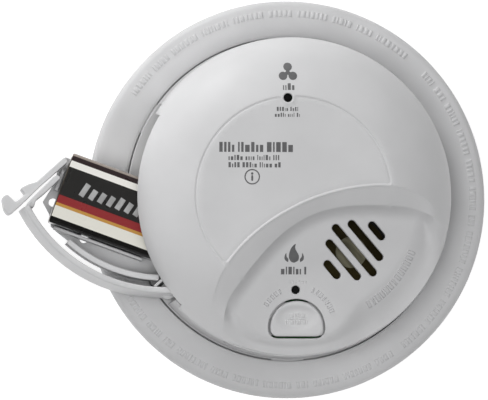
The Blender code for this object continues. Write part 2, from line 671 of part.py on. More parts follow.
def build_battery():
    """The nine-volt battery in the drawer: sleeve, end plates and the two snaps."""
    x, y = BATTERY_CORNER
    top = BATTERY_Z + BATTERY_T
    sleeve = block((0.9, 0, BATTERY_Z), (BATTERY_L - 3.1, BATTERY_W, top), BATTERY_DEG, (x, y), 1.1)
    add("battery_sleeve", sleeve, LABEL, DRAWER)
    cap = block((0, 0.5, BATTERY_Z + 0.5), (0.6, BATTERY_W - 0.5, top - 0.5), BATTERY_DEG, (x, y))
    add("battery_base_cap", cap, STEEL, DRAWER)
    low_corner = (BATTERY_L - 2.8, 0.5, BATTERY_Z + 0.5)
    high_corner = (BATTERY_L - 2.0, BATTERY_W - 0.5, top - 0.5)
    add("battery_terminal_plate", block(low_corner, high_corner, BATTERY_DEG, (x, y)), BLACK, DRAWER)
    for name, side, radius, sides in (("positive", 1, 2.9, 20), ("negative", -1, 3.8, 6)):
        snap = rod(radius, 0, 1.7, (0, 0), sides)
        snap.transform(Matrix.Rotation(math.radians(90), 4, "Y"))
        across = BATTERY_W / 2 + side * TERMINAL_SPACING / 2
        px, py = battery_point(BATTERY_L - 1.7, across)
        middle = BATTERY_Z + BATTERY_T / 2
        snap.transform(Matrix.Rotation(math.radians(BATTERY_DEG), 4, "Z"))
        snap.transform(Matrix.Translation(Vector((px, py, middle)) * MM))
        add(f"battery_{name}_snap", snap, STEEL, DRAWER)


def main():
    build_bracket()
    build_rear_housing()
    build_front_cover()
    build_button()
    build_spring()
    build_board()
    build_sensors()
    build_sounder()
    build_mains_socket()
    build_contacts()
    build_drawer()
    build_latch()
    build_battery()


main()
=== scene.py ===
"""Looks of a combined smoke and carbon monoxide alarm on its trim ring, battery drawer open.

Sizes are in millimetres and become metres when a mesh is made.
"""
import json
import logging
import math
from dataclasses import dataclass
from enum import Enum
from typing import Any, Callable, Sequence

import bmesh
import bpy
import numpy as np
from mathutils import Matrix, Vector
from mathutils.geometry import delaunay_2d_cdt


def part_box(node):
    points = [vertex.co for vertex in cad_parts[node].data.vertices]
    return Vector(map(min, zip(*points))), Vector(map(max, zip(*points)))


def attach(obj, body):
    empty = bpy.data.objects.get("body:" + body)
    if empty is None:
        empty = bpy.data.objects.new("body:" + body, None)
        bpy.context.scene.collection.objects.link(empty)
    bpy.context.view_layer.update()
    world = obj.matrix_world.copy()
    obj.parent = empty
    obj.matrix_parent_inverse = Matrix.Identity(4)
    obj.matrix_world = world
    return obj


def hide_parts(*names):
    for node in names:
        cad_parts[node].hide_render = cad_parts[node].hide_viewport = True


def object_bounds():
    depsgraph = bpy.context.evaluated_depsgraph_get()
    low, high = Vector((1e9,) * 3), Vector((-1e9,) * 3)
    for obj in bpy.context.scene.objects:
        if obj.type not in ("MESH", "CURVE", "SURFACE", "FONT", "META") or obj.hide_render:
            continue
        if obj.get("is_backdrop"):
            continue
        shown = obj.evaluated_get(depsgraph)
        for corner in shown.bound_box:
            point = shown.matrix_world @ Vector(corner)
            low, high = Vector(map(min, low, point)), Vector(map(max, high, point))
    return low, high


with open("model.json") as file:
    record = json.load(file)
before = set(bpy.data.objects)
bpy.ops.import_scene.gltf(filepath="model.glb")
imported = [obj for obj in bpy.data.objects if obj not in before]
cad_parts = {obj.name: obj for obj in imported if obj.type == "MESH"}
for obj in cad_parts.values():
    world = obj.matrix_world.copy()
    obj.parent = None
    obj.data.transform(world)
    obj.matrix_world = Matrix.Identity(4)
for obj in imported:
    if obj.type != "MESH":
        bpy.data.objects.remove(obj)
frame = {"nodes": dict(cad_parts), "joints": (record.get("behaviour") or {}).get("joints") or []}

MM = 0.001
Array = np.ndarray
Height = Callable[[Array], Array]
Outline = tuple[tuple[float, float], ...]
LOG = logging.getLogger("alarm")
CAD_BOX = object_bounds()


# ---------------------------------------------------------------- numbers and outlines

def polar(radius: Any, degrees: Any, centre: Sequence[float] = (0.0, 0.0)) -> Array:
    """Points at a radius and an angle about a centre.

    Args:
        radius: One radius or an array of them.
        degrees: One angle or an array of them.
        centre: Where the radius starts.

    Returns:
        The points, x = cx + r cos a and y = cy + r sin a.
    """
    turn = np.radians(np.asarray(degrees, float))
    return np.stack([centre[0] + radius * np.cos(turn), centre[1] + radius * np.sin(turn)], -1)


def turned(points: Any, degrees: float, centre: Sequence[float] = (0.0, 0.0),
           shift: Sequence[float] = (0.0, 0.0)) -> Array:
    """Points turned about a centre and then shifted.

    Args:
        points: The points in the plane.
        degrees: How far they turn, anticlockwise.
        centre: The point that stays where it is.
        shift: What is added afterwards.

    Returns:
        The turned points.
    """
    a = math.radians(degrees)
    turn = np.array([[math.cos(a), math.sin(a)], [-math.sin(a), math.cos(a)]])
    return (np.asarray(points, float) - centre) @ turn + centre + shift


def capsule(centre: Sequence[float], length: float, width: float, degrees: float, steps: int = 12) -> Array:
    """Outline of a slot: two half circles joined by straight sides.

    Args:
        centre: Middle of the slot.
        length: Length over the round ends.
        width: Width across the sides.
        degrees: Direction of its long axis.
        steps: Steps in each half circle.

    Returns:
        The outline, anticlockwise.
    """
    reach = (length - width) / 2
    a = np.linspace(-90, 90, steps + 1)
    ends = [polar(width / 2, a, (reach, 0)), polar(width / 2, a + 180, (-reach, 0))]
    return turned(np.concatenate(ends), degrees) + np.asarray(centre)


def ring_outline(radius: float, centre: Sequence[float] = (0.0, 0.0), steps: int = 48) -> Array:
    """A circle of evenly spaced points about a centre."""
    return polar(radius, np.arange(steps) * 360.0 / steps, centre)


def box_outline(low: Sequence[float], high: Sequence[float], corner: float = 0.0, steps: int = 5) -> Array:
    """Outline of a rectangle whose corners are quarter circles.

    Args:
        low: Lower left corner.
        high: Upper right corner.
        corner: Radius of the corners.
        steps: Steps in each corner.

    Returns:
        The outline, anticlockwise.
    """
    (x0, y0), (x1, y1) = low, high
    if corner <= 0:
        return np.array([(x0, y0), (x1, y0), (x1, y1), (x0, y1)], float)
    middles = ((x1 - corner, y0 + corner, -90), (x1 - corner, y1 - corner, 0),
               (x0 + corner, y1 - corner, 90), (x0 + corner, y0 + corner, 180))
    quarter = np.linspace(0, 90, steps + 1)
    return np.concatenate([polar(corner, start + quarter, (cx, cy)) for cx, cy, start in middles])


def softened(corners: Any, radius: float, steps: int = 5) -> Array:
    """A closed outline with every corner eased off.

    Args:
        corners: The corners in order.
        radius: How far from a corner its curve starts, or 0.45 of the shorter side beside it.
        steps: Points in each curve.

    Returns:
        The outline: at each corner c the curve (1 - t)^2 a + 2 t (1 - t) c + t^2 b between a point on
        each side.
    """
    c = np.asarray(corners, float)
    before, after = np.roll(c, 1, axis=0) - c, np.roll(c, -1, axis=0) - c
    reach_before, reach_after = np.linalg.norm(before, axis=1), np.linalg.norm(after, axis=1)
    reach = np.minimum(radius, 0.45 * np.minimum(reach_before, reach_after))[:, None]
    a, b = c + before / reach_before[:, None] * reach, c + after / reach_after[:, None] * reach
    t = np.linspace(0, 1, steps)[None, :, None]
    return ((1 - t) ** 2 * a[:, None] + 2 * t * (1 - t) * c[:, None] + t**2 * b[:, None]).reshape(-1, 2)


def smooth_curve(knots: Any, per_span: int = 12) -> Array:
    """A Catmull-Rom curve: each span is the cubic whose end slopes are half the chord between the neighbours.

    Args:
        knots: The points it passes through.
        per_span: Points in each span.

    Returns:
        The points of the open curve.
    """
    k = np.asarray(knots, float)
    k = np.concatenate([[2 * k[0] - k[1]], k, [2 * k[-1] - k[-2]]])
    t = (np.arange(per_span) / per_span)[None, :, None]
    a, b, c, d = (k[i:len(k) - 3 + i, None] for i in range(4))
    spans = 0.5 * (2 * b + (c - a) * t + (2 * a - 5 * b + 4 * c - d) * t**2 + (3 * b - a - 3 * c + d) * t**3)
    return np.concatenate([spans.reshape(-1, k.shape[1]), k[-2:-1]])


def even(curve: Array, step: float, closed: bool = False) -> Array:
    """The same line with its points about one step apart.

    Args:
        curve: The points of the line.
        step: Distance between the new points.
        closed: Whether the last point joins the first.

    Returns:
        The new points.
    """
    line = np.concatenate([curve, curve[:1]]) if closed else curve
    run = np.concatenate([[0], np.cumsum(np.linalg.norm(np.diff(line, axis=0), axis=1))])
    count = max(2, int(round(run[-1] / step)) + 1)
    at = np.linspace(0, run[-1], count)[: count - 1 if closed else count]
    return np.stack([np.interp(at, run, line[:, i]) for i in range(line.shape[1])], -1)


def line_distance(points: Array, line: Array, closed: bool = True) -> Array:
    """Distance of points in the plane from a line of straight pieces.

    Args:
        points: The points.
        line: The line's corners.
        closed: Whether its last corner joins the first.

    Returns:
        For each point the least, over all pieces, of its distance to that piece.
    """
    start = line if closed else line[:-1]
    along = (np.roll(line, -1, 0) if closed else line[1:]) - start
    length = np.maximum((along**2).sum(1), 1e-12)
    best = np.full(len(points), np.inf)
    for i in range(0, len(start), 24):
        s, v, n = start[i:i + 24], along[i:i + 24], length[i:i + 24]
        from_start = points[:, None] - s
        share = np.clip((from_start * v).sum(2) / n, 0, 1)
        gap = from_start - share[..., None] * v
        best = np.minimum(best, (gap**2).sum(2).min(1))
    return np.sqrt(best)


def inside(points: Array, loop: Array) -> Array:
    """Whether points lie in a loop: a ray from such a point crosses the loop an odd number of times.

    Args:
        points: The points in the plane.
        loop: The closed outline.

    Returns:
        True for each point inside.
    """
    odd = np.zeros(len(points), bool)
    ends = np.roll(loop, -1, 0)
    x, y = points[:, :1], points[:, 1:]
    for i in range(0, len(loop), 64):
        (x0, y0), (x1, y1) = loop[i:i + 64].T, ends[i:i + 64].T
        level = (y0 > y) != (y1 > y)
        slope = (x1 - x0) / np.where(y1 == y0, 1e-12, y1 - y0)
        odd ^= (level & (x < x0 + (y - y0) * slope)).sum(1) % 2 == 1
    return odd


def offset(loop: Array, distance: float) -> Array:
    """A loop moved to its left by a distance: each corner goes along the mean of its two sides' normals.

    Args:
        loop: The closed outline.
        distance: How far it moves; inwards on an anticlockwise loop.

    Returns:
        The moved outline.
    """
    side = np.roll(loop, -1, 0) - loop
    side /= np.maximum(np.linalg.norm(side, axis=1, keepdims=True), 1e-9)
    normal = np.stack([-side[:, 1], side[:, 0]], 1)
    before = np.roll(normal, 1, 0)
    mitre = (normal + before) / np.maximum(1 + (normal * before).sum(1, keepdims=True), 0.35)
    return loop + mitre * distance


def wound(loop: Array, anticlockwise: bool = True) -> Array:
    """The loop in the asked direction, told by the sign of its area.

    Args:
        loop: The closed outline.
        anticlockwise: The direction wanted.

    Returns:
        The loop, turned round where it ran the other way.
    """
    x, y = loop.T
    area = (x * np.roll(y, -1) - y * np.roll(x, -1)).sum()
    return loop if (area > 0) == anticlockwise else loop[::-1]


def smoothstep(value: Any, low: float, high: float) -> Array:
    """A smooth rise from 0 at low to 1 at high: 3t^2 - 2t^3."""
    t = np.clip((np.asarray(value, float) - low) / (high - low), 0, 1)
    return t * t * (3 - 2 * t)


def soft_min(a: Array, b: Array, radius: float) -> Array:
    """The lower of two heights, with the edge between them rounded: it is less by (k - |a - b|)^2 / 4k."""
    return np.minimum(a, b) - np.maximum(radius - np.abs(a - b), 0) ** 2 / (4 * radius)


# ---------------------------------------------------------------- skins

@dataclass
class Skin:
    """Points in mm and the faces between them. Skins add up to one skin."""

    points: Array
    faces: list[Array]

    def __add__(self, other: "Skin") -> "Skin":
        """Both skins in one."""
        shift = len(self.points)
        return Skin(np.concatenate([self.points, other.points]),
                    self.faces + [f + shift for f in other.faces])

    def moved(self, change: Callable[[Array], Array]) -> "Skin":
        """The same faces on changed points."""
        return Skin(change(self.points), self.faces)


def together(skins: Sequence[Skin]) -> Skin:
    """All the skins in one.

    Args:
        skins: The skins to join.

    Returns:
        Their points and faces one after another.
    """
    total = skins[0]
    for one in skins[1:]:
        total = total + one
    return total


def grid_faces(rows: int, columns: int, wrap_rows: bool = False, wrap_columns: bool = False) -> Array:
    """Quads between neighbours of a grid of points.

    Args:
        rows: Rows of points.
        columns: Points in a row.
        wrap_rows: Whether the last row joins the first.
        wrap_columns: Whether a row's last point joins its first.

    Returns:
        Four indices for each quad.
    """
    r = np.arange(rows if wrap_rows else rows - 1)[:, None]
    c = np.arange(columns if wrap_columns else columns - 1)[None]
    r2, c2 = (r + 1) % rows, (c + 1) % columns
    return np.stack(np.broadcast_arrays(r * columns + c, r * columns + c2, r2 * columns + c2,
                                        r2 * columns + c), -1).reshape(-1, 4)


def lathe(profile: Any, centre: Sequence[float] = (0.0, 0.0), steps: int = 96,
          closed: bool = False) -> Skin:
    """A surface of revolution: a profile point (r, z) goes to (r cos a, r sin a, z) for every angle a.

    Args:
        profile: Radius and height of each row.
        centre: The axis in the plane.
        steps: Angles in a full turn.
        closed: Whether the profile's last point joins its first, as in a ring.

    Returns:
        The surface. Rows on the axis are merged to a pole when the piece is made.
    """
    p = np.asarray(profile, float)
    a = np.arange(steps) * 360.0 / steps
    flat = polar(p[:, :1], a[None], centre)
    z = np.broadcast_to(p[:, 1, None, None], flat.shape[:2] + (1,))
    return Skin(np.concatenate([flat, z], -1).reshape(-1, 3), [grid_faces(len(p), steps, closed, True)])


def capped_tube(rows: int, count: int) -> list[Array]:
    """Faces of a tube: quads round its closed rows of points, and one face over each end."""
    first = np.arange(count)
    return [grid_faces(rows, count, False, True), first[None, ::-1], (first + (rows - 1) * count)[None]]


def carried(path: Array, profile: Array) -> Skin:
    """A profile carried along an open path: its x goes to the path's left, square to z, its y square to both.

    Args:
        path: The points in space that it follows.
        profile: The closed outline in its own plane.

    Returns:
        The swept surface, capped at both ends.
    """
    tangent = np.gradient(path, axis=0)
    tangent /= np.linalg.norm(tangent, axis=1, keepdims=True)
    left = np.cross((0.0, 0.0, 1.0), tangent)
    left /= np.linalg.norm(left, axis=1, keepdims=True)
    rise = np.cross(tangent, left)
    points = path[:, None] + profile[None, :, :1] * left[:, None] + profile[None, :, 1:] * rise[:, None]
    return Skin(points.reshape(-1, 3), capped_tube(len(path), len(profile)))


def cut_sheet(loops: Sequence[Array], fill: Array, lines: Sequence[Array] = ()) -> tuple[Array, Array]:
    """Triangles of a flat sheet with holes, which no grid of rows and columns can follow.

    Args:
        loops: The outer outline, then the holes.
        fill: Points to use inside it.
        lines: Closed loops that the triangles keep to as well.

    Returns:
        The flat points, and three indices for each triangle that lies in the sheet.
    """
    rings = list(loops) + list(lines)
    starts = np.cumsum([0] + [len(r) for r in rings])
    edges = [np.stack([np.arange(len(r)), np.roll(np.arange(len(r)), -1)], 1) + s for r,
             s in zip(rings, starts)]
    points = np.concatenate(rings + [fill])
    made = delaunay_2d_cdt(list(map(Vector, points.tolist())), np.concatenate(edges).tolist(), [], 0, 1e-7)
    flat = np.array([tuple(v) for v in made[0]])
    triangles = np.array(made[2])
    middle = flat[triangles].mean(1)
    keep = inside(middle, loops[0])
    for hole in loops[1:]:
        keep &= ~inside(middle, hole)
    return flat, triangles[keep]


def closed_sheet(triangles: Array, upper: Array, lower: Array) -> Skin:
    """Two copies of a cut sheet, the lower one turned over, with a strip of quads along every free edge.

    Args:
        triangles: Three indices for each triangle of the sheet.
        upper: Its points on the upper face.
        lower: The same points on the lower face.

    Returns:
        The closed skin. A side that only one triangle has is a free edge.
    """
    sides = np.concatenate([triangles[:, [0, 1]], triangles[:, [1, 2]], triangles[:, [2, 0]]])
    key = np.sort(sides, 1) @ np.array([len(upper), 1])
    _, first, count = np.unique(key, return_index=True, return_counts=True)
    rim = sides[first[count == 1]]
    strip = np.column_stack([rim[:, 1], rim[:, 0], rim[:, 0] + len(upper), rim[:, 1] + len(upper)])
    return Skin(np.concatenate([upper, lower]), [triangles, triangles[:, ::-1] + len(upper), strip])


# Rows of points across a rounded edge, as shares of its radius
ROUND_ROWS = np.array([0.12, 0.35, 0.65, 1.0])


def edge_drop(distance: Array, radius: float) -> Array:
    """How far a rounded edge lies under its face: radius less the height of a quarter circle."""
    near = np.clip(radius - distance, 0, radius)
    return radius - np.sqrt(np.maximum(radius**2 - near**2, 0))


def hexagonal(low: Any, high: Any, spacing: float) -> Array:
    """Points of a grid whose every second row is half a step along.

    Args:
        low: Lower left corner.
        high: Upper right corner.
        spacing: Distance between neighbours.

    Returns:
        The points.
    """
    x = np.arange(low[0], high[0], spacing)
    y = np.arange(low[1], high[1], spacing * 0.866)
    gx, gy = np.meshgrid(x, y)
    gx[1::2] += spacing / 2
    return np.stack([gx, gy], -1).reshape(-1, 2)


def clear_of(points: Array, loops: Sequence[Array], gap: float) -> Array:
    """The points inside the first loop and outside the others that are at least a gap from them all.

    Args:
        points: The points to sort out.
        loops: The outline, then the holes.
        gap: Least distance from every loop.

    Returns:
        The points that are left.
    """
    keep = inside(points, loops[0]) & (line_distance(points, loops[0]) > gap)
    for hole in loops[1:]:
        keep &= ~inside(points, hole) & (line_distance(points, hole) > gap)
    return points[keep]


def slab(loops: Sequence[Array], low: float | Height, high: float | Height, edge: float = 0.3,
         spacing: float = 6.0, low_edge: float | None = None) -> Skin:
    """A plate cut to an outline, with holes and rounded edges.

    The upper face is z = high(x, y) - drop(d) at a distance d from the nearest outline; the lower mirrors it.

    Args:
        loops: The outline, then the holes.
        low: Height of the lower face, a number or a function of the points.
        high: Height of the upper face.
        edge: Radius of the upper edges.
        spacing: Distance between the points inside.
        low_edge: Radius of the lower edges, the same unless it is given.

    Returns:
        The closed plate.
    """
    loops = [wound(np.asarray(loop, float), i == 0) for i, loop in enumerate(loops)]
    rows = [offset(loop, edge * share) for loop in loops for share in ROUND_ROWS] if edge > 0 else []
    fill = clear_of(hexagonal(loops[0].min(0), loops[0].max(0), spacing), loops,
                    max(edge * 1.3, spacing * 0.4))
    flat, triangles = cut_sheet(loops, fill, rows)
    distance = np.min([line_distance(flat, loop) for loop in loops], axis=0)
    top = (high(flat) if callable(high) else high) - (edge_drop(distance, edge) if edge > 0 else 0)
    under = edge if low_edge is None else low_edge
    bottom = (low(flat) if callable(low) else low) + (edge_drop(distance, under) if under > 0 else 0)
    upper = np.column_stack([flat, np.broadcast_to(top, len(flat))])
    lower = np.column_stack([flat, np.broadcast_to(bottom, len(flat))])
    return closed_sheet(triangles, upper, lower)


# How deep the slopes and the undersides of raised blocks reach into the surface they stand on
BLOCK_FOOT, BLOCK_ROOT = 0.05, 0.15


def raised_blocks(places: Array, angles: Array, sizes: Array, rise: float, surface: Height,
                  corner: float = 0.3) -> Skin:
    """Many small raised blocks: one pillow of 6 by 6 points is turned, sized and laid down for each.

    Args:
        places: Middle of each block.
        angles: Direction of each block's width, in degrees.
        sizes: Width and depth of each block.
        rise: Height of the blocks above the surface.
        surface: Height of the surface at given points.
        corner: Width of the slope at their edges.

    Returns:
        All the blocks in one skin.
    """
    row = np.array([-1.0, -1.0, -0.33, 0.33, 1.0, 1.0])
    side = len(row)
    per_block = side * side
    lift = np.where(np.arange(side) % (side - 1) == 0, 0, 1)
    lifted = np.outer(lift, lift).ravel()
    half = sizes[:, None] / 2
    base = np.stack(np.meshgrid(row, row), -1).reshape(1, -1, 2)
    local = base * (half - lifted[None, :, None] * np.minimum(corner, half * 0.6))
    a = np.radians(angles)[:, None]
    x = places[:, :1] + local[..., 0] * np.cos(a) - local[..., 1] * np.sin(a)
    y = places[:, 1:] + local[..., 0] * np.sin(a) + local[..., 1] * np.cos(a)
    flat = np.stack([x, y], -1).reshape(-1, 2)
    ground = surface(flat)
    top = np.column_stack([flat, ground + np.tile(lifted, len(places)) * (rise + BLOCK_FOOT) - BLOCK_FOOT])
    bottom = np.column_stack([flat, ground - BLOCK_ROOT])
    count = per_block * len(places)
    shift = (np.arange(len(places)) * per_block)[:, None, None]
    every = (grid_faces(side, side)[None] + shift).reshape(-1, 4)
    first, last = np.arange(side), per_block - side
    border = np.concatenate([first, first[1:] * side + side - 1, last + first[-2::-1],
                             last - first[1:-1] * side])
    around = np.stack([np.roll(border, -1), border], 1)
    strip = (np.concatenate([around, around[:, ::-1] + count], 1)[None] + shift).reshape(-1, 4)
    return Skin(np.concatenate([top, bottom]), [every, every[:, ::-1] + count, strip])


# ---------------------------------------------------------------- finishes

def linear(code: str) -> tuple[float, float, float, float]:
    """An sRGB hex colour made linear: c / 12.92 below 0.04045, else ((c + 0.055) / 1.055)^2.4; alpha is 1."""
    share = [int(code[i:i + 2], 16) / 255 for i in (1, 3, 5)]
    return (*(c / 12.92 if c <= 0.04045 else ((c + 0.055) / 1.055) ** 2.4 for c in share), 1.0)


def add_node(tree: bpy.types.NodeTree, kind: str, inputs: dict[Any, Any] | None = None,
             stops: Sequence[tuple[float, str]] = (), **settings: Any) -> bpy.types.Node:
    """Adds one node.

    Args:
        tree: The material's node tree.
        kind: The node's type.
        inputs: For each input, a value or the socket that feeds it.
        stops: Places and hex colours of a colour ramp.
        settings: The node's own settings.

    Returns:
        The node.
    """
    node = tree.nodes.new(kind)
    for name, value in settings.items():
        setattr(node, name, value)
    for key, value in (inputs or {}).items():
        if isinstance(value, bpy.types.NodeSocket):
            tree.links.new(value, node.inputs[key])
        else:
            node.inputs[key].default_value = value
    if stops:
        ramp = node.color_ramp
        while len(ramp.elements) < len(stops):
            ramp.elements.new(1.0)
        for element, (place, code) in zip(ramp.elements, stops):
            element.position, element.color = place, linear(code)
    return node


class Slot(Enum):
    """The record's material slots."""

    WHITE = "white_plastic"
    GREY = "grey_plastic"
    BLACK = "black_plastic"
    CLEAR = "clear_plastic"
    BOARD = "circuit_board"
    FILM = "film_yellow"
    STEEL = "steel"
    BRASS = "brass"
    CERAMIC = "ceramic"
    BATTERY = "battery_label"
    PAPER = "paper_label"


@dataclass(frozen=True)
class Finish:
    """A finish with soft clouds of colour and a fine grain, both in object coordinates."""

    name: str
    slot: Slot
    light: str
    dark: str
    roughness: float = 0.45
    metallic: float = 0.0
    cloud: float = 26.0
    grain: float = 0.7
    depth: float = 0.02
    stretch: tuple[float, float, float] = (1.0, 1.0, 1.0)
    turn: float = 0.0
    place: tuple[float, float, float] = (0.0, 0.0, 0.0)
    ior: float = 1.5
    coat: float = 0.0
    transmission: float = 0.0
    emission: float = 0.0

    def colour(self, tree: bpy.types.NodeTree, spot: bpy.types.NodeSocket) -> bpy.types.NodeSocket:
        """The colour at each point: clouds of the dark and the light shade."""
        clouds = add_node(tree, "ShaderNodeTexNoise",
                          {"Vector": spot, "Scale": 1000 / self.cloud, "Detail": 3.0})
        return add_node(tree, "ShaderNodeValToRGB", {"Fac": clouds.outputs["Fac"]},
                        ((0.38, self.dark), (0.62, self.light))).outputs["Color"]

    def height(self, tree: bpy.types.NodeTree, spot: bpy.types.NodeSocket) -> bpy.types.NodeSocket:
        """The grain's height at each point, from 0 to 1."""
        return add_node(tree, "ShaderNodeTexNoise",
                        {"Vector": spot, "Scale": 1000 / self.grain, "Detail": 2.0}).outputs["Fac"]

    def material(self) -> bpy.types.Material:
        """The node material: colour from clouds, bump from the grain and roughness within 12 percent.

        Returns:
            The material, found again where it is made already.
        """
        made = bpy.data.materials.get(self.name)
        if made:
            return made
        made = bpy.data.materials.new(self.name)
        made.use_nodes = True
        tree = made.node_tree
        tree.nodes.clear()
        where = add_node(tree, "ShaderNodeTexCoord").outputs["Object"]
        spot = add_node(tree, "ShaderNodeMapping", {
            "Vector": where, "Location": Vector(self.place) * MM,
            "Rotation": (0, 0, math.radians(self.turn)), "Scale": self.stretch
        }, vector_type="TEXTURE").outputs["Vector"]
        bump = add_node(tree, "ShaderNodeBump",
                        {"Height": self.height(tree, spot), "Distance": self.depth * MM, "Strength": 0.7})
        gloss = add_node(tree, "ShaderNodeTexNoise", {"Vector": spot, "Scale": 1000 / (self.cloud * 0.3)})
        rough = add_node(tree, "ShaderNodeMapRange",
                         {"Value": gloss.outputs["Fac"], "To Min": self.roughness * 0.88,
                          "To Max": self.roughness * 1.12})
        inputs = {
            "Base Color": self.colour(tree, spot), "Roughness": rough.outputs["Result"],
            "Normal": bump.outputs["Normal"],
            "Metallic": self.metallic, "Coat Weight": self.coat, "Transmission Weight": self.transmission,
        }
        if not self.metallic:
            inputs["IOR"] = self.ior
        if self.emission:
            inputs |= {"Emission Color": linear("#ffffff"), "Emission Strength": self.emission}
        shader = add_node(tree, "ShaderNodeBsdfPrincipled", inputs)
        add_node(tree, "ShaderNodeOutputMaterial", {"Surface": shader.outputs["BSDF"]})
        made.diffuse_color = linear(self.light)
        return made


@dataclass(frozen=True)
class BandedSleeve(Finish):
    """The battery's printed steel sleeve: bands across its width, measured from its lower edge; ink, and at
    the long edges painted highlight and dark reflection.
    """

    bands: tuple[tuple[float, str], ...] = ()
    width: float = 26.5

    def colour(self, tree: bpy.types.NodeTree, spot: bpy.types.NodeSocket) -> bpy.types.NodeSocket:
        """Bands: the colour at a point, ink or painted edge sheen, depends on its y over the sleeve's width.

        Args:
            tree: The material's node tree.
            spot: The socket with the place on the sleeve.

        Returns:
            The colour socket.
        """
        across = add_node(tree, "ShaderNodeSeparateXYZ", {"Vector": spot}).outputs["Y"]
        share = add_node(tree, "ShaderNodeMapRange",
                         {"Value": across, "From Max": self.width * MM}).outputs["Result"]
        stops = tuple((at / self.width, code) for at, code in self.bands)
        ramp = add_node(tree, "ShaderNodeValToRGB", {"Fac": share}, stops)
        ramp.color_ramp.interpolation = "CONSTANT"
        return ramp.outputs["Color"]


@dataclass(frozen=True)
class SolderMask(Finish):
    """Green lacquer over copper: tracks show as lighter lines between the cells of a grid pattern."""

    def colour(self, tree: bpy.types.NodeTree, spot: bpy.types.NodeSocket) -> bpy.types.NodeSocket:
        """Tracks 0.5 mm wide along the borders of brick-like cells 6 by 3 mm."""
        return add_node(tree, "ShaderNodeTexBrick", {
            "Vector": spot, "Color1": linear(self.dark), "Color2": linear(self.dark),
            "Mortar": linear(self.light),
            "Scale": 1000.0, "Mortar Size": 0.25, "Brick Width": 6.0, "Row Height": 3.0,
        }).outputs["Color"]


# Moulded ABS, warm-grey white: satin, with the faint grain of a spark-eroded mould
WHITE_ABS = Finish("moulded_white_abs", Slot.WHITE, "#d2d2d3", "#cdcdce", 0.5, depth=0.006)
# The same ABS on the ring, with a coarser mould grain
RING_ABS = Finish("ring_white_abs", Slot.WHITE, "#cfcfd0", "#cacacb", 0.55, depth=0.01, grain=0.9)
# ABS of the pan: matt, a shade greyer than the cover
PAN_ABS = Finish("pan_grey_abs", Slot.GREY, "#cdcdce", "#c6c6c7", 0.6, depth=0.015)
# Pad-printed ink: flat dark grey
INK = Finish("pad_print_ink", Slot.WHITE, "#6a6a6b", "#626263", 0.6, cloud=4.0, depth=0.004)
# Black nylon and ABS of sockets, chips and chambers: half gloss
BLACK_NYLON = Finish("black_nylon", Slot.BLACK, "#20201f", "#181817", 0.42, cloud=9.0)
# Smoked acrylic of the lamps and light pipes: near black, with its gloss held down by the well round it
SMOKED_ACRYLIC = Finish("smoked_acrylic", Slot.CLEAR, "#0e0e0e", "#080808", 0.3, cloud=5.0, depth=0.002,
                        ior=1.25, transmission=0.1)
# Fibreglass board under green solder lacquer: half gloss with copper tracks
GREEN_BOARD = SolderMask("green_solder_mask", Slot.BOARD, "#3c6b3a", "#21482a", 0.4, coat=0.3)
# Dipped epoxy of film capacitors and surge absorbers: smooth yellow
YELLOW_EPOXY = Finish("dipped_yellow_epoxy", Slot.FILM, "#c39a2f", "#b58a24", 0.35, cloud=6.0, coat=0.4)
# Plated steel of pins, snaps and springs: bright with drawn lines
PLATED_STEEL = Finish("plated_steel", Slot.STEEL, "#c9c8c4", "#aeada9", 0.3, metallic=1.0, cloud=7.0,
                      stretch=(1, 6, 1))
# Rolled tinplate edge of the battery can: warm and a little dull
TINPLATE = Finish("rolled_tinplate", Slot.STEEL, "#a89a88", "#5a4c42", 0.34, metallic=0.8, cloud=11.0,
                  stretch=(9, 1, 1), turn=-20.0)
# Brass of the horn disc with rolling lines, its yellow darkened to a dull olive as painted shade under the
# slots
ROLLED_BRASS_PAINTED_SHADE = Finish("rolled_brass_painted_shade", Slot.BRASS, "#554c2e", "#3d3620", 0.5, metallic=0.75, cloud=6.0,
                      stretch=(5, 1, 1), turn=-49.7)
# Silvered ceramic of the sounder: matt pale grey with a worn silver skin, its colour darkened to an olive
# grey as painted shade under the slots
SILVERED_CERAMIC_PAINTED_SHADE = Finish("silvered_ceramic_painted_shade", Slot.CERAMIC, "#86836f", "#5f5c4a", 0.5, metallic=0.3,
                          cloud=2.4, grain=0.5, stretch=(4, 1, 1), turn=-49.7)
# Cream moulded nylon of the battery's terminal board
CREAM_NYLON = Finish("cream_nylon", Slot.WHITE, "#e6e4dc", "#dedcd3", 0.5, cloud=8.0)
# Matt paper of the rear label: fibres show as faint clouds
LABEL_PAPER = Finish("label_paper", Slot.PAPER, "#e3e2dc", "#d8d7d0", 0.75, cloud=1.6, grain=0.3)
# Varnished print on the battery's steel sleeve: glossy inks in straight bands, and at both long edges bands
# of painted highlight and dark reflection standing for the rounded edges
SLEEVE_PRINT_AND_EDGE_SHEEN = BandedSleeve(
    "battery_sleeve_ink_and_edge_sheen", Slot.BATTERY, "#f0eee8", "#262626", 0.28, coat=0.5, depth=0.004, turn=-20.0,
    place=(-88.4, -9.1, 0.0),
    # First band, black: painted dark reflection of the rounded lower edge. Last two, brown and beige: painted
    # dark reflection and highlight of the rounded upper edge. The rest are ink.
    bands=((0.0, "#141312"), (2.3, "#e4e2d8"), (6.5, "#c08f45"), (7.6, "#8f2f31"), (10.5, "#2b2a29"),
           (21.3, "#f1efe9"), (23.7, "#33292a"), (25.4, "#9a9088")),
)
# Silver ink printed over the sleeve's black band
SILVER_INK = Finish("silver_sleeve_ink", Slot.BATTERY, "#bdbdbd", "#a9a9a9", 0.35, metallic=0.2, cloud=5.0,
                    coat=0.5)
# Pale studio paper under the alarm
STUDIO_PAPER = Finish("studio_paper", Slot.PAPER, "#c4c4c4", "#c2c2c2", 0.9, cloud=300.0, depth=0.001,
                      emission=0.7)


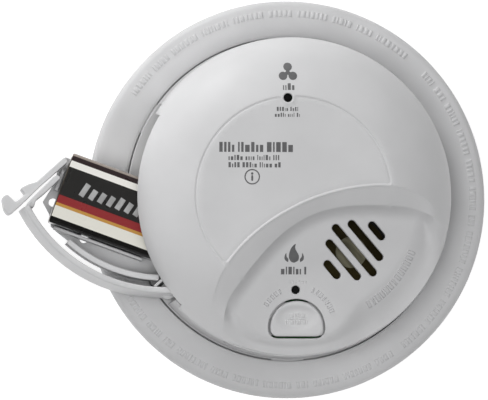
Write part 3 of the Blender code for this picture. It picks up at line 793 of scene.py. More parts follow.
def make_piece(name: str, skin: Skin, finish: Finish, body: str | None, *nodes: str, sharp: float = 32.0,
               weighted: bool = True) -> bpy.types.Object:
    """Makes the object of a skin and hands it to the frame.

    Args:
        name: The piece's name.
        skin: Its points in mm and its faces.
        finish: What it is made of.
        body: The CAD body it rides on, or None for the stage.
        nodes: The CAD nodes it stands for.
        sharp: Edges steeper than this many degrees stay sharp.
        weighted: Whether large faces rule the shading at their edges.

    Returns:
        The object, at the origin.
    """
    mesh = bpy.data.meshes.new(name)
    mesh.from_pydata((skin.points * MM).tolist(), [],
                     [row for block in skin.faces for row in block.tolist()])
    work = bmesh.new()
    work.from_mesh(mesh)
    bmesh.ops.remove_doubles(work, verts=work.verts, dist=1e-6)
    bmesh.ops.dissolve_degenerate(work, edges=work.edges, dist=1e-7)
    bmesh.ops.recalc_face_normals(work, faces=work.faces)
    work.to_mesh(mesh)
    work.free()
    mesh.shade_smooth()
    mesh.set_sharp_from_angle(angle=math.radians(sharp))
    made = bpy.data.objects.new(name, mesh)
    bpy.context.scene.collection.objects.link(made)
    mesh.materials.append(finish.material())
    if weighted:
        made.modifiers.new("face_weights", "WEIGHTED_NORMAL").keep_sharp = True
    if body is None:
        made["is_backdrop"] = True
        return made
    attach(made, body)
    if nodes:
        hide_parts(*nodes)
    LOG.info("%s: %d faces on %s", name, len(mesh.polygons), body)
    return made


def dress(finish: Finish, *nodes: str) -> None:
    """Gives CAD nodes that are shown as they are their finish.

    Args:
        finish: What they are made of.
        nodes: Names of the CAD nodes.
    """
    for node in nodes:
        mesh = frame["nodes"][node].data
        mesh.materials.clear()
        mesh.materials.append(finish.material())


def middle(node: str) -> Array:
    """Middle of a CAD node's box in the plane, in mm."""
    low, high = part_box(node)
    return np.array([(low.x + high.x) / 2, (low.y + high.y) / 2]) / MM


def joint_place(name: str) -> Array:
    """Where a joint of the record turns, in mm."""
    found = next(j for j in frame["joints"] if j["name"] == name)
    return np.array(found["pos_m"], float)[:2] / MM


# ---------------------------------------------------------------- pieces

@dataclass
class TrimRing:
    """The trim ring: a turned skirt, its wall web with screw slots, and three bayonet lugs."""

    bore: float = 59.3
    web_bore: float = 37.0
    web: float = 1.6
    screw_circle: float = 44.45
    screw_slot: float = 2.3
    keyhole: float = 4.4
    lugs: tuple[float, ...] = (30.0, 150.0, 270.0)
    lug_half: float = 5.8
    mark_circle: float = 68.3
    mark_rise: float = 0.3
    mark_gap: float = 0.42
    word_gap: float = 1.5
    mark_arcs: Outline = ((50, 146), (-52, 43), (199, 304))
    face: Outline = ((60.6, 6.38), (63.0, 6.36), (66.0, 6.27), (69.0, 6.1), (70.2, 5.95), (70.9, 5.75))
    shoulder: Outline = ((71.35, 5.62), (71.9, 5.3), (72.35, 4.8), (72.7, 4.1), (72.92, 3.3), (73.0, 2.4))
    under: Outline = (
        (73.0, 0.25), (72.8, 0.0), (71.4, 0.0), (71.2, 0.2), (71.2, 2.2), (70.2, 3.6), (68.6, 4.4),
        (61.1, 4.6), (61.1, 0.0))
    hole: Outline = ((60.2, 0.0), (59.3, 0.2), (59.3, 5.7), (59.5, 6.1), (60.05, 6.35))

    def skirt(self) -> Skin:
        """The ring's cross-section turned about its axis: near-flat top, rounded shoulder, outer bead."""
        return lathe(self.hole[-1:] + self.face + self.shoulder + self.under + self.hole[:-1], steps=240,
                     closed=True)

    def wall_web(self) -> Skin:
        """The flat web with four arc slots, each opening into a keyhole.

        Returns:
            The closed plate.
        """
        a = np.linspace(-12, 12, 13)
        holes = []
        for start in (0, 90, 180, 270):
            path = polar(self.screw_circle, a + start)
            outer = polar(self.screw_circle + self.screw_slot, a + start)
            inner = polar(self.screw_circle - self.screw_slot, a + start)
            bulge = polar(self.keyhole, np.linspace(-150, 150, 25) + start + 102, path[-1])
            holes.append(np.concatenate([outer[:-1], bulge[2:-2], inner[-2::-1]]))
        loops = [ring_outline(self.bore + 1.2, steps=160), ring_outline(self.web_bore, steps=128), *holes]
        return slab(loops, 0.0, self.web, edge=0.25, spacing=5.0)

    def lug(self, angle: float) -> Skin:
        """One bayonet lug."""
        a = np.linspace(-self.lug_half, self.lug_half, 8) + angle
        return slab([np.concatenate([polar(60.0, a), polar(57.4, a[::-1])])], 4.3, 5.3, edge=0.2,
                    spacing=2.0)

    def top(self, points: Array) -> Array:
        """Height of the skirt's face at a radius, read off its cross-section."""
        return np.interp(np.hypot(*points.T), *zip(*self.face))

    def marks(self) -> Skin:
        """Rows of plain raised blocks round the ring, in place of moulded wording.

        Returns:
            All the blocks.
        """
        draw = np.random.default_rng(7)
        places, angles, sizes = [], [], []
        for start, end in self.mark_arcs:
            at = float(start)
            word = int(draw.integers(3, 9))
            while at < end:
                width = float(draw.choice((0.7, 1.15, 1.35, 1.6)))
                step = math.degrees((width + self.mark_gap) / self.mark_circle)
                places.append(polar(self.mark_circle, at + step / 2))
                angles.append(at + step / 2 + 90)
                sizes.append((width, 2.5))
                at += step
                word -= 1
                if word == 0:
                    at += math.degrees(self.word_gap / self.mark_circle)
                    word = int(draw.integers(3, 9))
        return raised_blocks(np.array(places), np.array(angles), np.array(sizes), self.mark_rise, self.top,
                             corner=0.25)

    def build(self) -> None:
        """Makes the ring and the blocks on it."""
        solid = together([self.skirt(), self.wall_web(), *[self.lug(a) for a in self.lugs]])
        make_piece("trim_ring", solid, RING_ABS, "bracket", "mounting_bracket")
        make_piece("trim_ring_marks", self.marks(), RING_ABS, "bracket", sharp=60)


@dataclass
class RearHousing:
    """The pan behind the cover: floor, bayonet flange, side wall with vents, and board posts."""

    back: float = 1.9
    floor: float = 3.7
    flange_top: float = 7.0
    wall_top: float = 27.4
    wall_foot: float = 58.5
    wall_head: float = 56.6
    wall: float = 1.8
    bay: tuple[float, float] = (143.5, 221.5)
    vents: tuple[float, ...] = tuple(range(-60, 130, 19)) + (252, 271)
    vent_half: float = 6.5
    vent_low: float = 12.0
    vent_high: float = 22.0
    slats: tuple[float, ...] = (15.3, 18.7)
    posts: tuple[float, ...] = (5.0, 75.0, 300.0)
    post_circle: float = 47.0
    roll: float = 57.0
    flange: Outline = (
        (54.3, 3.5), (54.3, 6.8), (54.5, 7.0), (58.6, 7.0), (58.9, 6.7), (58.9, 2.2), (58.6, 1.9),
        (56.8, 1.9), (56.8, 3.5))

    def radius(self, z: Any) -> Any:
        """Radius of the wall's outer face at a height: it falls evenly from foot to head."""
        share = (z - self.flange_top) / (self.wall_top - self.flange_top)
        return self.wall_foot + (self.wall_head - self.wall_foot) * share

    def lean(self, sheet: Array, inset: float) -> Array:
        """Rolls a flat strip into the leaning wall: the angle is run over radius, r falls evenly with height.

        Args:
            sheet: Run along the wall and height, for each point.
            inset: How far the points lie inside the outer face.

        Returns:
            The points in space.
        """
        degrees, z = np.degrees(sheet[:, 0] / self.roll), sheet[:, 1]
        return np.column_stack([polar(self.radius(z) - inset, degrees), z])

    def side_wall(self) -> Skin:
        """The wall from one side of the drawer bay round to the other, with a window for each vent.

        Returns:
            The closed wall.
        """
        start, end = self.bay[1] - 360, self.bay[0]
        run = math.radians(1) * self.roll
        border = even(box_outline((start * run, self.flange_top - 0.6), (end * run, self.wall_top)), 1.6,
                      closed=True)
        middles = [((a - start) % 360 + start) * run for a in self.vents]
        windows = [wound(box_outline((x - self.vent_half, self.vent_low),
                                     (x + self.vent_half, self.vent_high), 1.2), False)
                   for x in middles]
        loops = [border, *windows]
        rows = [offset(w, d) for w in windows for d in (0.15, 0.5)]
        fill = clear_of(hexagonal(border.min(0), border.max(0), 1.7), loops, 0.8)
        flat, triangles = cut_sheet(loops, fill, rows)
        near = np.min([line_distance(flat, w) for w in windows], axis=0)
        drop = edge_drop(near, 0.45)
        return closed_sheet(triangles, self.lean(flat, drop), self.lean(flat, self.wall - drop))

    def louvres(self) -> Skin:
        """Two thin slats across every vent, behind the wall's face.

        Returns:
            All the slats.
        """
        slats = []
        for a in self.vents:
            turn = np.linspace(-6.6, 6.6, 9)
            for z in self.slats:
                path = np.column_stack([polar(self.radius(z) - 1.1, a + turn), np.full(len(turn), z)])
                slats.append(carried(path, box_outline((-0.6, -0.35), (0.6, 0.35), 0.2, 2)))
        return together(slats)

    def pan(self) -> Skin:
        """The floor with the socket's opening, and the flange turned round it.

        Returns:
            Floor, flange and board posts.
        """
        low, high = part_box("mains_socket")
        hole = box_outline((low.x / MM + 1.7, low.y / MM + 1.2), (high.x / MM - 1.7, high.y / MM - 1.2),
                           0.8)
        plate = slab([ring_outline(57.0, steps=160), hole], self.back, self.floor, edge=0.2, spacing=6.0)
        foot = self.floor - 0.2
        post = [(0, foot), (3.0, foot), (3.0, 28.4), (2.7, 28.7), (1.5, 28.7), (1.5, 14.0), (0, 14.0)]
        posts = [lathe(post, polar(self.post_circle, a), 32) for a in self.posts]
        return together([plate, lathe(self.flange, steps=200, closed=True), *posts])

    def build(self) -> None:
        """Makes the pan with its wall and louvres."""
        make_piece("housing_pan", together([self.pan(), self.side_wall()]), PAN_ABS, "alarm",
                   "rear_housing")
        make_piece("housing_louvres", self.louvres(), PAN_ABS, "alarm")


@dataclass
class FrontCover:
    """The dome: a flat label face, a falling shoulder, and a crescent recess for sounder and button."""

    radius: float = 58.0
    lip: float = 27.8
    rise: float = 24.3
    power: float = 3.2
    face: float = 49.5
    thick: float = 2.2
    bay: tuple[float, float] = (149.0, 224.3)
    bay_top: float = 34.6
    label_centre: tuple[float, float] = (-1.1, 0.0)
    label_radius: float = 35.2
    label_rim: float = 0.9
    light_rim: float = 3.0
    label_sink: float = 0.2
    groove: float = 0.42
    groove_half: float = 0.3
    crest_drop: float = 0.04
    bevel_fall: float = 0.42
    wall_run: float = 5.2
    hole_round: float = 0.45
    thin_from: float = 51.0
    floor: float = 40.8
    floor_fall: float = 0.0586
    brim: float = 34.2
    slot_pitch: float = 5.35
    slot_row: float = 41.0
    slot_turn: float = -49.7
    slot_lengths: tuple[float, ...] = (8.0, 18.4, 23.8, 18.4, 8.0)
    slot_width: float = 2.9
    crest: Outline = (
        (-27.5, -58.0), (-29.6, -48.0), (-29.9, -39.0), (-27.8, -30.2), (-23.1, -22.6), (-17.0, -15.9),
        (-9.9, -10.1), (-2.2, -5.4), (5.9, -1.6), (14.5, 1.1), (23.4, 2.8), (32.6, 3.2), (41.4, 1.8),
        (49.0, -3.0), (54.5, -10.0), (58.5, -19.0))
    foot: Outline = (
        (-24.0, -60.0), (-25.8, -47.5), (-24.4, -38.4), (-19.9, -31.0), (-14.3, -23.8), (-8.1, -16.9),
        (-1.2, -11.1), (6.5, -6.9), (15.0, -4.5), (24.1, -3.6), (33.3, -3.7), (42.1, -4.6), (50.4, -7.8),
        (56.5, -14.0), (61.0, -22.0))
    far: Outline = ((90.0, -40.0), (60.0, -80.0), (0.0, -95.0), (-25.0, -80.0))

    def __post_init__(self) -> None:
        """Works out the curves that the height needs."""
        self.crest_line = even(smooth_curve(self.crest), 0.6)
        self.foot_line = even(smooth_curve(self.foot), 0.6)
        self.recess_line = np.concatenate([self.crest_line, self.far])
        self.slot_centre = middle("horn_cup")
        self.co_light, self.power_light = middle("co_light"), middle("power_light")
        self.button_centre = middle("test_button")
        gone = ((self.bay_top - self.lip) / self.rise) ** 2
        self.bay_radius = self.radius * (1 - gone) ** (1 / self.power)

    def in_bay(self, points: Array) -> Array:
        """Which points lie in the sector that the battery drawer shuts in."""
        a = np.degrees(np.arctan2(points[:, 1], points[:, 0])) % 360
        return (a > self.bay[0] - 0.01) & (a < self.bay[1] + 0.01)

    def border(self) -> Array:
        """The lip's outline: a circle that steps in to where the dome meets the bay's top edge."""
        lip = polar(self.radius, np.linspace(self.bay[1] - 360, self.bay[0], 240))
        return np.concatenate([lip, polar(self.bay_radius, np.linspace(*self.bay, 64))])

    def dome(self, r: Array, power: float | None = None) -> Array:
        """Height of the bare dome: lip + rise (1 - (r / R)^p)^1/2, cut flat at the face."""
        share = np.clip(r / self.radius, 0, 1)
        return self.lip + self.rise * np.sqrt(1 - share ** (power or self.power))

    def bed(self, points: Array) -> Array:
        """Height of the recess floor: a gentle slope that steps down to a flat brim near the lip.

        Args:
            points: Places in the plane.

        Returns:
            The height at each.
        """
        x, y = points.T
        r = np.hypot(x, y)
        slope = self.floor - self.floor_fall * (0.6 * x - 0.8 * y)
        away = smoothstep(np.abs(np.degrees(np.arctan2(y, x)) + 90), 12, 34)
        step = smoothstep(r, 52.2 - 8.2 * away, 54.8 - 0.8 * away)
        low = self.brim + (1 - away) * 1.6
        return slope * (1 - step) + low * step

    def top(self, points: Array) -> Array:
        """Height of the cover's face.

        The dome is cut flat and the label's field is sunk in it behind a groove. Inside the crest a gentle
        bevel leads to a steep wall, bed + (dome - bed) (1 - d / run)^2.2 at a distance d past the foot line,
        which eases into the bed of the recess.

        Args:
            points: Places in the plane.

        Returns:
            The height at each.
        """
        r = np.hypot(*points.T)
        to_crest = line_distance(points, self.crest_line, closed=False)
        to_foot = line_distance(points, self.foot_line, closed=False)
        in_recess = inside(points, self.recess_line)
        on_floor = inside(points, np.concatenate([self.foot_line, self.far]))
        from_label = np.hypot(*(points - self.label_centre).T)
        from_light = np.hypot(*(points - self.co_light).T)
        within = np.minimum(self.label_radius - from_label, to_crest - self.label_rim)
        within = np.minimum(within, from_light - self.light_rim)
        groove = np.exp(-((within / self.groove_half) ** 2)) * self.groove
        dome = soft_min(self.dome(r), np.full(len(r), self.face), 0.12)
        dome = dome - np.where(in_recess, 0, groove + self.label_sink * smoothstep(within, -0.1, 0.25))
        bed = self.bed(points)
        ease = 1 - smoothstep(r, 44, 52)
        across = to_crest / np.maximum(to_foot + to_crest, 1e-6)
        bevel = 1 - ease * (self.crest_drop * smoothstep(to_crest, 0, 0.5) + self.bevel_fall * across)
        reach = self.wall_run + 8.0 * smoothstep(r, 48, 54)
        left = np.clip(1 - to_foot / reach, 0, 1)
        steep = (1 - ease * (self.crest_drop + self.bevel_fall)) * left**2.2
        wall = bed + (dome - bed) * np.where(on_floor, steep, bevel)
        edge = self.dome(r, 15.0)
        recess = np.where(in_recess, soft_min(wall, edge, 0.3), dome + 1.5 * to_crest)
        return np.where(in_recess, np.minimum(recess, np.maximum(dome, edge)), soft_min(dome, recess, 0.3))

    def openings(self) -> list[Array]:
        """Outlines of the sounder slots, the button's opening and the two light holes.

        Returns:
            One closed outline for each.
        """
        middles = [polar((i - 2) * self.slot_pitch, self.slot_row,
                         self.slot_centre) for i in range(len(self.slot_lengths))]
        slots = [capsule(spot, length, self.slot_width, self.slot_turn, 14) for spot,
                 length in zip(middles, self.slot_lengths)]
        lights = [ring_outline(1.6, self.co_light, 28), ring_outline(1.5, self.power_light, 28)]
        return slots + [even(button_outline(self.button_centre, 0.7), 0.7, closed=True)] + lights

    def beside(self, line: Array, offsets: Sequence[float]) -> Array:
        """Rows of points beside a line.

        Args:
            line: The open line.
            offsets: How far to its left each row lies.

        Returns:
            The points p + d n of every row, where n is the unit normal at the point p and d the row's offset.
        """
        tangent = np.gradient(line, axis=0)
        tangent /= np.linalg.norm(tangent, axis=1, keepdims=True)
        left = np.stack([-tangent[:, 1], tangent[:, 0]], 1)
        return (line[None] + left[None] * np.asarray(offsets)[:, None, None]).reshape(-1, 2)

    def edge_rows(self) -> Array:
        """Close rows of points where the face bends most.

        Returns:
            Rows beside the crest and the foot of the recess wall.
        """
        crest = self.beside(self.crest_line, (-4.4, -3.4, -2.5, -1.7, -1.1, -0.6, -0.3, -0.12, 0.0, 0.15,
                                              0.4, 0.8, 1.3))
        crest = crest[line_distance(crest, self.foot_line, closed=False) > 1.0]
        drops = (-7.0, -6.1, -5.3, -4.6, -3.9, -3.2, -2.6, -2.0, -1.5, -1.0, -0.6, -0.3, 0.0, 0.3, 0.7)
        return np.concatenate([crest, self.beside(self.foot_line, drops)])

    def fill(self, border: Array, holes: Sequence[Array]) -> Array:
        """Points inside the sheet, closest where the face bends most.

        Args:
            border: The sheet's outline.
            holes: The holes in it.

        Returns:
            A loose grid, rows along the recess wall and rows round the rim, clear of grooves and holes.
        """
        shares = np.array((0.9995, 0.998, 0.995, 0.99, 0.982, 0.972, 0.96, 0.945, 0.93))
        rim = polar(self.radius * shares[:, None], np.arange(0, 360, 1.2)[None]).reshape(-1, 2)
        rim = rim[~(self.in_bay(rim) & (np.hypot(*rim.T) > self.bay_radius - 0.08))]
        coarse = hexagonal((-58, -58), (58, 58), 1.5)
        near = line_distance(coarse, self.crest_line, closed=False)
        below = line_distance(coarse, self.foot_line, closed=False)
        banded = inside(coarse, self.recess_line) & ((near < 5.0) | (below < 7.6))
        coarse = coarse[(near > 1.8) & ~banded & (np.hypot(*coarse.T) < 53.2)]
        coarse = coarse[self.off_groove(coarse) > 1.2]
        rows = self.edge_rows()
        rows = rows[(np.hypot(*rows.T) < 57.2) & (self.off_groove(rows) > 0.85)]
        return np.concatenate([clear_of(np.concatenate([coarse, rows]), [border, *holes], 0.75), rim])

    def off_groove(self, points: Array) -> Array:
        """Distance of points from the label's circle."""
        return np.abs(np.hypot(*(points - self.label_centre).T) - self.label_radius)

    def build(self) -> None:
        """Makes the dome as one cut sheet whose two skins are the face and a shell's thickness under it."""
        border, holes = self.border(), [wound(h, False) for h in self.openings()]
        rows = [offset(h, d) for h in holes for d in (0.1, 0.25, 0.45, 0.7)]
        for d in (-0.75, -0.45, -0.2, 0.0, 0.2, 0.45, 0.75):
            rows.append(wound(ring_outline(self.label_radius + d, self.label_centre, 260)))
        flat, triangles = cut_sheet([border, *holes], self.fill(border, holes), rows)
        r = np.hypot(*flat.T)
        to_hole = np.min([line_distance(flat, h) for h in holes], axis=0)
        height = self.top(flat)
        inward = self.thick * smoothstep(r, self.thin_from, self.radius)
        lower = flat * (1 - inward / np.maximum(r, 1e-6))[:, None]
        under = height - np.sqrt(self.thick**2 - inward**2)
        under = np.where(self.in_bay(flat) & (r > self.thin_from), np.maximum(under, self.bay_top), under)
        upper = np.column_stack([flat, height - edge_drop(to_hole, self.hole_round)])
        skin = closed_sheet(triangles, upper, np.column_stack([lower, under]))
        make_piece("front_cover_dome", skin, WHITE_ABS, "alarm", "front_cover", sharp=50, weighted=False)


def button_outline(centre: Sequence[float], grow: float = 0.0) -> Array:
    """A letter D on its back: an arch on a flat base with rounded corners.

    Args:
        centre: Middle of the button.
        grow: How far the outline lies outside the button.

    Returns:
        The outline, anticlockwise from the right.
    """
    half_w, half_h, corner = 9.6 + grow, 6.4 + grow, 2.6 + grow
    flat_side = 0.6
    base = centre[1] - half_h
    a = np.radians(np.arange(0, 181, 6.0))
    lift = 2 * half_h - corner - flat_side
    arch = np.stack([centre[0] + half_w * np.cos(a), base + corner + flat_side + lift * np.sin(a)], 1)
    left = polar(corner, np.arange(180, 271, 15), (centre[0] - half_w + corner, base + corner))
    right = polar(corner, np.arange(270, 361, 15), (centre[0] + half_w - corner, base + corner))
    return np.concatenate([arch, left, right])


@dataclass
class Markings:
    """Marks on the cover: printed bars and signs in grey ink, and raised bars in the plastic."""

    cover: FrontCover
    ink: float = 0.04
    block_gap: float = 0.45
    ball: float = 1.55
    ball_circle: float = 2.15
    tall_flame: Outline = (
        (0.0, -3.2), (1.5, -2.3), (1.7, -0.6), (0.9, 0.9), (0.35, 2.2), (0.45, 3.6), (-0.9, 2.4),
        (-1.7, 0.6), (-1.9, -1.4), (-1.1, -2.8), (0.0, -3.2))
    short_flame: Outline = (
        (2.2, -3.0), (3.3, -2.2), (3.5, -0.9), (2.9, 0.3), (2.75, -0.9), (2.1, -1.9), (2.2, -3.0))

    def printed(self, outline: Array, *holes: Array) -> Skin:
        """A film of ink laid on the cover within an outline."""
        face = self.cover.top
        return slab([outline, *holes], lambda p: face(p) - 0.06, lambda p: face(p) + self.ink, edge=0.0,
                    spacing=1.2)

    def bars(self, left: float, right: float, middle_y: float, height: float, seed: int,
             gap: float = 0.5) -> Skin:
        """A line of plain upright bars of ink between two places, in groups, standing for a line of print.

        Args:
            left: Where the line starts.
            right: Where it ends.
            middle_y: Height of its middle on the face.
            height: A tall bar's height.
            seed: Seed of its random widths.
            gap: Space between bars.

        Returns:
            The bars of ink.
        """
        draw = np.random.default_rng(seed)
        places, sizes, at = [], [], left
        group = int(draw.integers(3, 7))
        while at < right:
            width = float(draw.choice((0.28, 0.4, 0.55, 0.75))) * height / 1.6
            tall = height * float(draw.choice((0.72, 1.0)))
            places.append((at + width / 2, middle_y - (height - tall) / 2))
            sizes.append((width, tall))
            at += width + gap
            group -= 1
            if group == 0:
                at += gap * 1.6
                group = int(draw.integers(3, 7))
        return raised_blocks(np.array(places), np.zeros(len(places)), np.array(sizes), self.ink,
                             self.cover.top, corner=0.03)

    def molecule(self, centre: Array) -> list[Skin]:
        """A sign of three joined balls on short bonds.

        Args:
            centre: The sign's middle.

        Returns:
            One film of ink for each ball and bond.
        """
        arms = (90.0, 215.0, 325.0)
        middles = [polar(self.ball_circle, a, centre) for a in arms]
        balls = [self.printed(ring_outline(self.ball, spot, 24)) for spot in middles]
        bonds = [self.printed(capsule(polar(1.0, a, centre), 2.6, 1.3, a)) for a in arms]
        return balls + bonds

    def flame(self, centre: Array) -> list[Skin]:
        """A sign of one tall flame between two short ones, each a closed smooth curve.

        Args:
            centre: The sign's middle.

        Returns:
            One film of ink for each flame.
        """
        tall, short = (smooth_curve(knots, 6)[:-1] for knots in (self.tall_flame, self.short_flame))
        return [self.printed(shape + centre) for shape in (tall, short, short * (-1, 1))]

    def info(self, centre: Array) -> list[Skin]:
        """A ring round a dot and a bar.

        Args:
            centre: The sign's middle.

        Returns:
            The three films of ink.
        """
        ring = self.printed(ring_outline(2.8, centre, 40), ring_outline(2.35, centre, 40))
        dot = self.printed(ring_outline(0.45, centre + (0.0, 1.15), 16))
        bar = self.printed(capsule(centre - (0.0, 0.45), 2.1, 0.7, 90.0, 6))
        return [ring, dot, bar]

    def arc_blocks(self, centre: Sequence[float], radius: float, start: float, end: float, width: float,
                   depth: float, rise: float, seed: int) -> Skin:
        """Raised plastic blocks along an arc.

        Args:
            centre: Centre of the arc.
            radius: Its radius.
            start: Angle where it starts.
            end: Angle where it ends.
            width: Width of the widest block.
            depth: Depth of every block, across the arc.
            rise: Height over the cover.
            seed: Seed of the random widths.

        Returns:
            The blocks.
        """
        draw = np.random.default_rng(seed)
        step = math.degrees((width + self.block_gap) / radius)
        a = np.arange(start, end, step)
        sizes = np.column_stack([width * draw.choice((0.55, 0.85, 1.0), len(a)), np.full(len(a), depth)])
        return raised_blocks(polar(radius, a, centre), a + 90, sizes, rise, self.cover.top, corner=0.22)

    def build(self) -> None:
        """Makes the ink and the raised marks."""
        cx, cy = self.cover.button_centre
        lines = ((-4.9, -1.2, 38.8, 2.5, 3, 0.4), (-7.2, 0.8, 30.7, 1.5, 4, 0.33),
                 (-7.9, 1.2, 28.6, 1.5, 5, 0.33),
                 (-27.9, -2.0, 17.0, 3.6, 6, 0.5), (-24.6, -6.4, 13.2, 1.9, 8, 0.38),
                 (-24.6, -6.4, 10.6, 1.9, 9, 0.38),
                 (-5.0, 4.6, -27.1, 2.8, 10, 0.45))
        signs = [*self.molecule(np.array((-3.0, 44.0))), *self.flame(np.array((-0.2, -21.1))),
                 *self.info(np.array((-16.05, 6.3)))]
        printed = signs + [self.bars(*line) for line in lines]
        make_piece("cover_printed_marks", together(printed), INK, "alarm", sharp=60)
        raised = [
            self.arc_blocks((cx, cy - 1.8), 13.0, 118, 152, 1.25, 1.9, 0.55, 21),
            self.arc_blocks((cx, cy - 1.8), 13.4, 20, 66, 1.25, 2.0, 0.55, 22),
            self.arc_blocks((cx, cy - 60.0), 73.2, 87.4, 92.2, 0.7, 1.1, 0.2, 23),
            self.arc_blocks((7.0, -7.0), 38.0, -58, -19, 1.6, 2.9, 0.65, 24),
        ]
        make_piece("cover_raised_marks", together(raised), WHITE_ABS, "alarm", sharp=60)


@dataclass
class TestButton:
    """The D-shaped test button with a shallow oval dish and two raised bars."""

    cover: FrontCover
    edge: float = 0.75
    dish: float = 0.9
    dish_half: tuple[float, float] = (8.2, 4.9)
    bars: Outline = ((1.1, 3.0), (-1.3, 4.2))
    bar_rise: float = 0.3
    low: float = 35.0
    flange_half: tuple[float, float] = (10.8, 6.0)

    def top(self, points: Array) -> Array:
        """Height of its face: the top, less a dish that rises smoothly to an oval, plus the raised bars.

        Args:
            points: Places in the plane.

        Returns:
            The height at each.
        """
        cx, cy = self.cover.button_centre
        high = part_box("test_button")[1].z / MM
        x, y = points[:, 0] - cx, points[:, 1] - cy
        oval = (x / self.dish_half[0]) ** 2 + ((y - 0.2) / self.dish_half[1]) ** 2
        bowl = self.dish * smoothstep(1.0 - oval, 0.0, 0.75)
        draw = np.sin(x * 5.1) * np.sin(x * 2.3 + 1.0)
        rows = np.zeros(len(x))
        for level, reach in self.bars:
            row = smoothstep(reach - np.abs(x), 0, 0.3) * smoothstep(0.85 - np.abs(y - level), 0, 0.3)
            rows = np.maximum(rows, row * smoothstep(draw, -0.25, 0.05))
        line = smoothstep(3.6 - np.abs(x), 0, 0.3) * smoothstep(0.16 - np.abs(y + 0.05), 0, 0.14)
        return high - bowl + self.bar_rise * np.maximum(rows, line)

    def build(self) -> None:
        """Makes the cap and its retaining flange."""
        centre = self.cover.button_centre
        outline = even(button_outline(centre), 0.5, closed=True)
        cap = slab([outline], self.low, self.top, edge=self.edge, spacing=0.28, low_edge=0.1)
        flange = slab([box_outline(centre - self.flange_half, centre + self.flange_half, 1.0)], 34.2, 35.3,
                      edge=0.2)
        make_piece("test_button_cap", together([cap, flange]), WHITE_ABS, "button", "test_button", sharp=50,
                   weighted=False)


@dataclass
class Sounder:
    """The horn under the slots: cup, brass disc, silvered ceramic and its contact leaf."""

    cup: Outline = (
        (0, 30.9), (13.3, 30.9), (13.6, 31.2), (13.6, 35.3), (13.3, 35.6), (12.4, 35.6), (12.2, 35.4),
        (12.2, 32.1), (0, 32.1))
    disc: float = 11.8
    swage: Outline = ((9.4, 0.0), (9.2, -0.08), (8.8, -0.08), (8.6, 0.0))

    def build(self) -> None:
        """Makes the turned pieces at the horn's place and dresses the leaf."""
        spot = middle("horn_cup")
        make_piece("horn_resonator_cup", lathe(self.cup, spot, 96), BLACK_NYLON, "alarm", "horn_cup")
        low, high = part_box("horn_disc")
        z0, z1 = low.z / MM, high.z / MM
        swage = [(r, z1 + z) for r, z in self.swage]
        rim = [(self.disc - 0.2, z0), (self.disc, z0 + 0.1), (self.disc, z1 - 0.1), (self.disc - 0.2, z1)]
        disc = [(0, z0), *rim, *swage, (0, z1)]
        make_piece("horn_brass_disc", lathe(disc, spot, 96), ROLLED_BRASS_PAINTED_SHADE, "alarm", "horn_disc")
        low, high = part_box("horn_ceramic")
        z0, z1, reach = low.z / MM, high.z / MM, (high.x - low.x) / 2 / MM
        skin = [(0, z0), (reach - 0.1, z0), (reach, z0 + 0.08), (reach, z1 - 0.08), (reach - 0.1, z1),
                (0, z1)]
        spot = middle("horn_ceramic")
        make_piece("horn_ceramic_disc", lathe(skin, spot, 72), SILVERED_CERAMIC_PAINTED_SHADE, "alarm", "horn_ceramic")
        dress(PLATED_STEEL, "horn_contact_leaf")


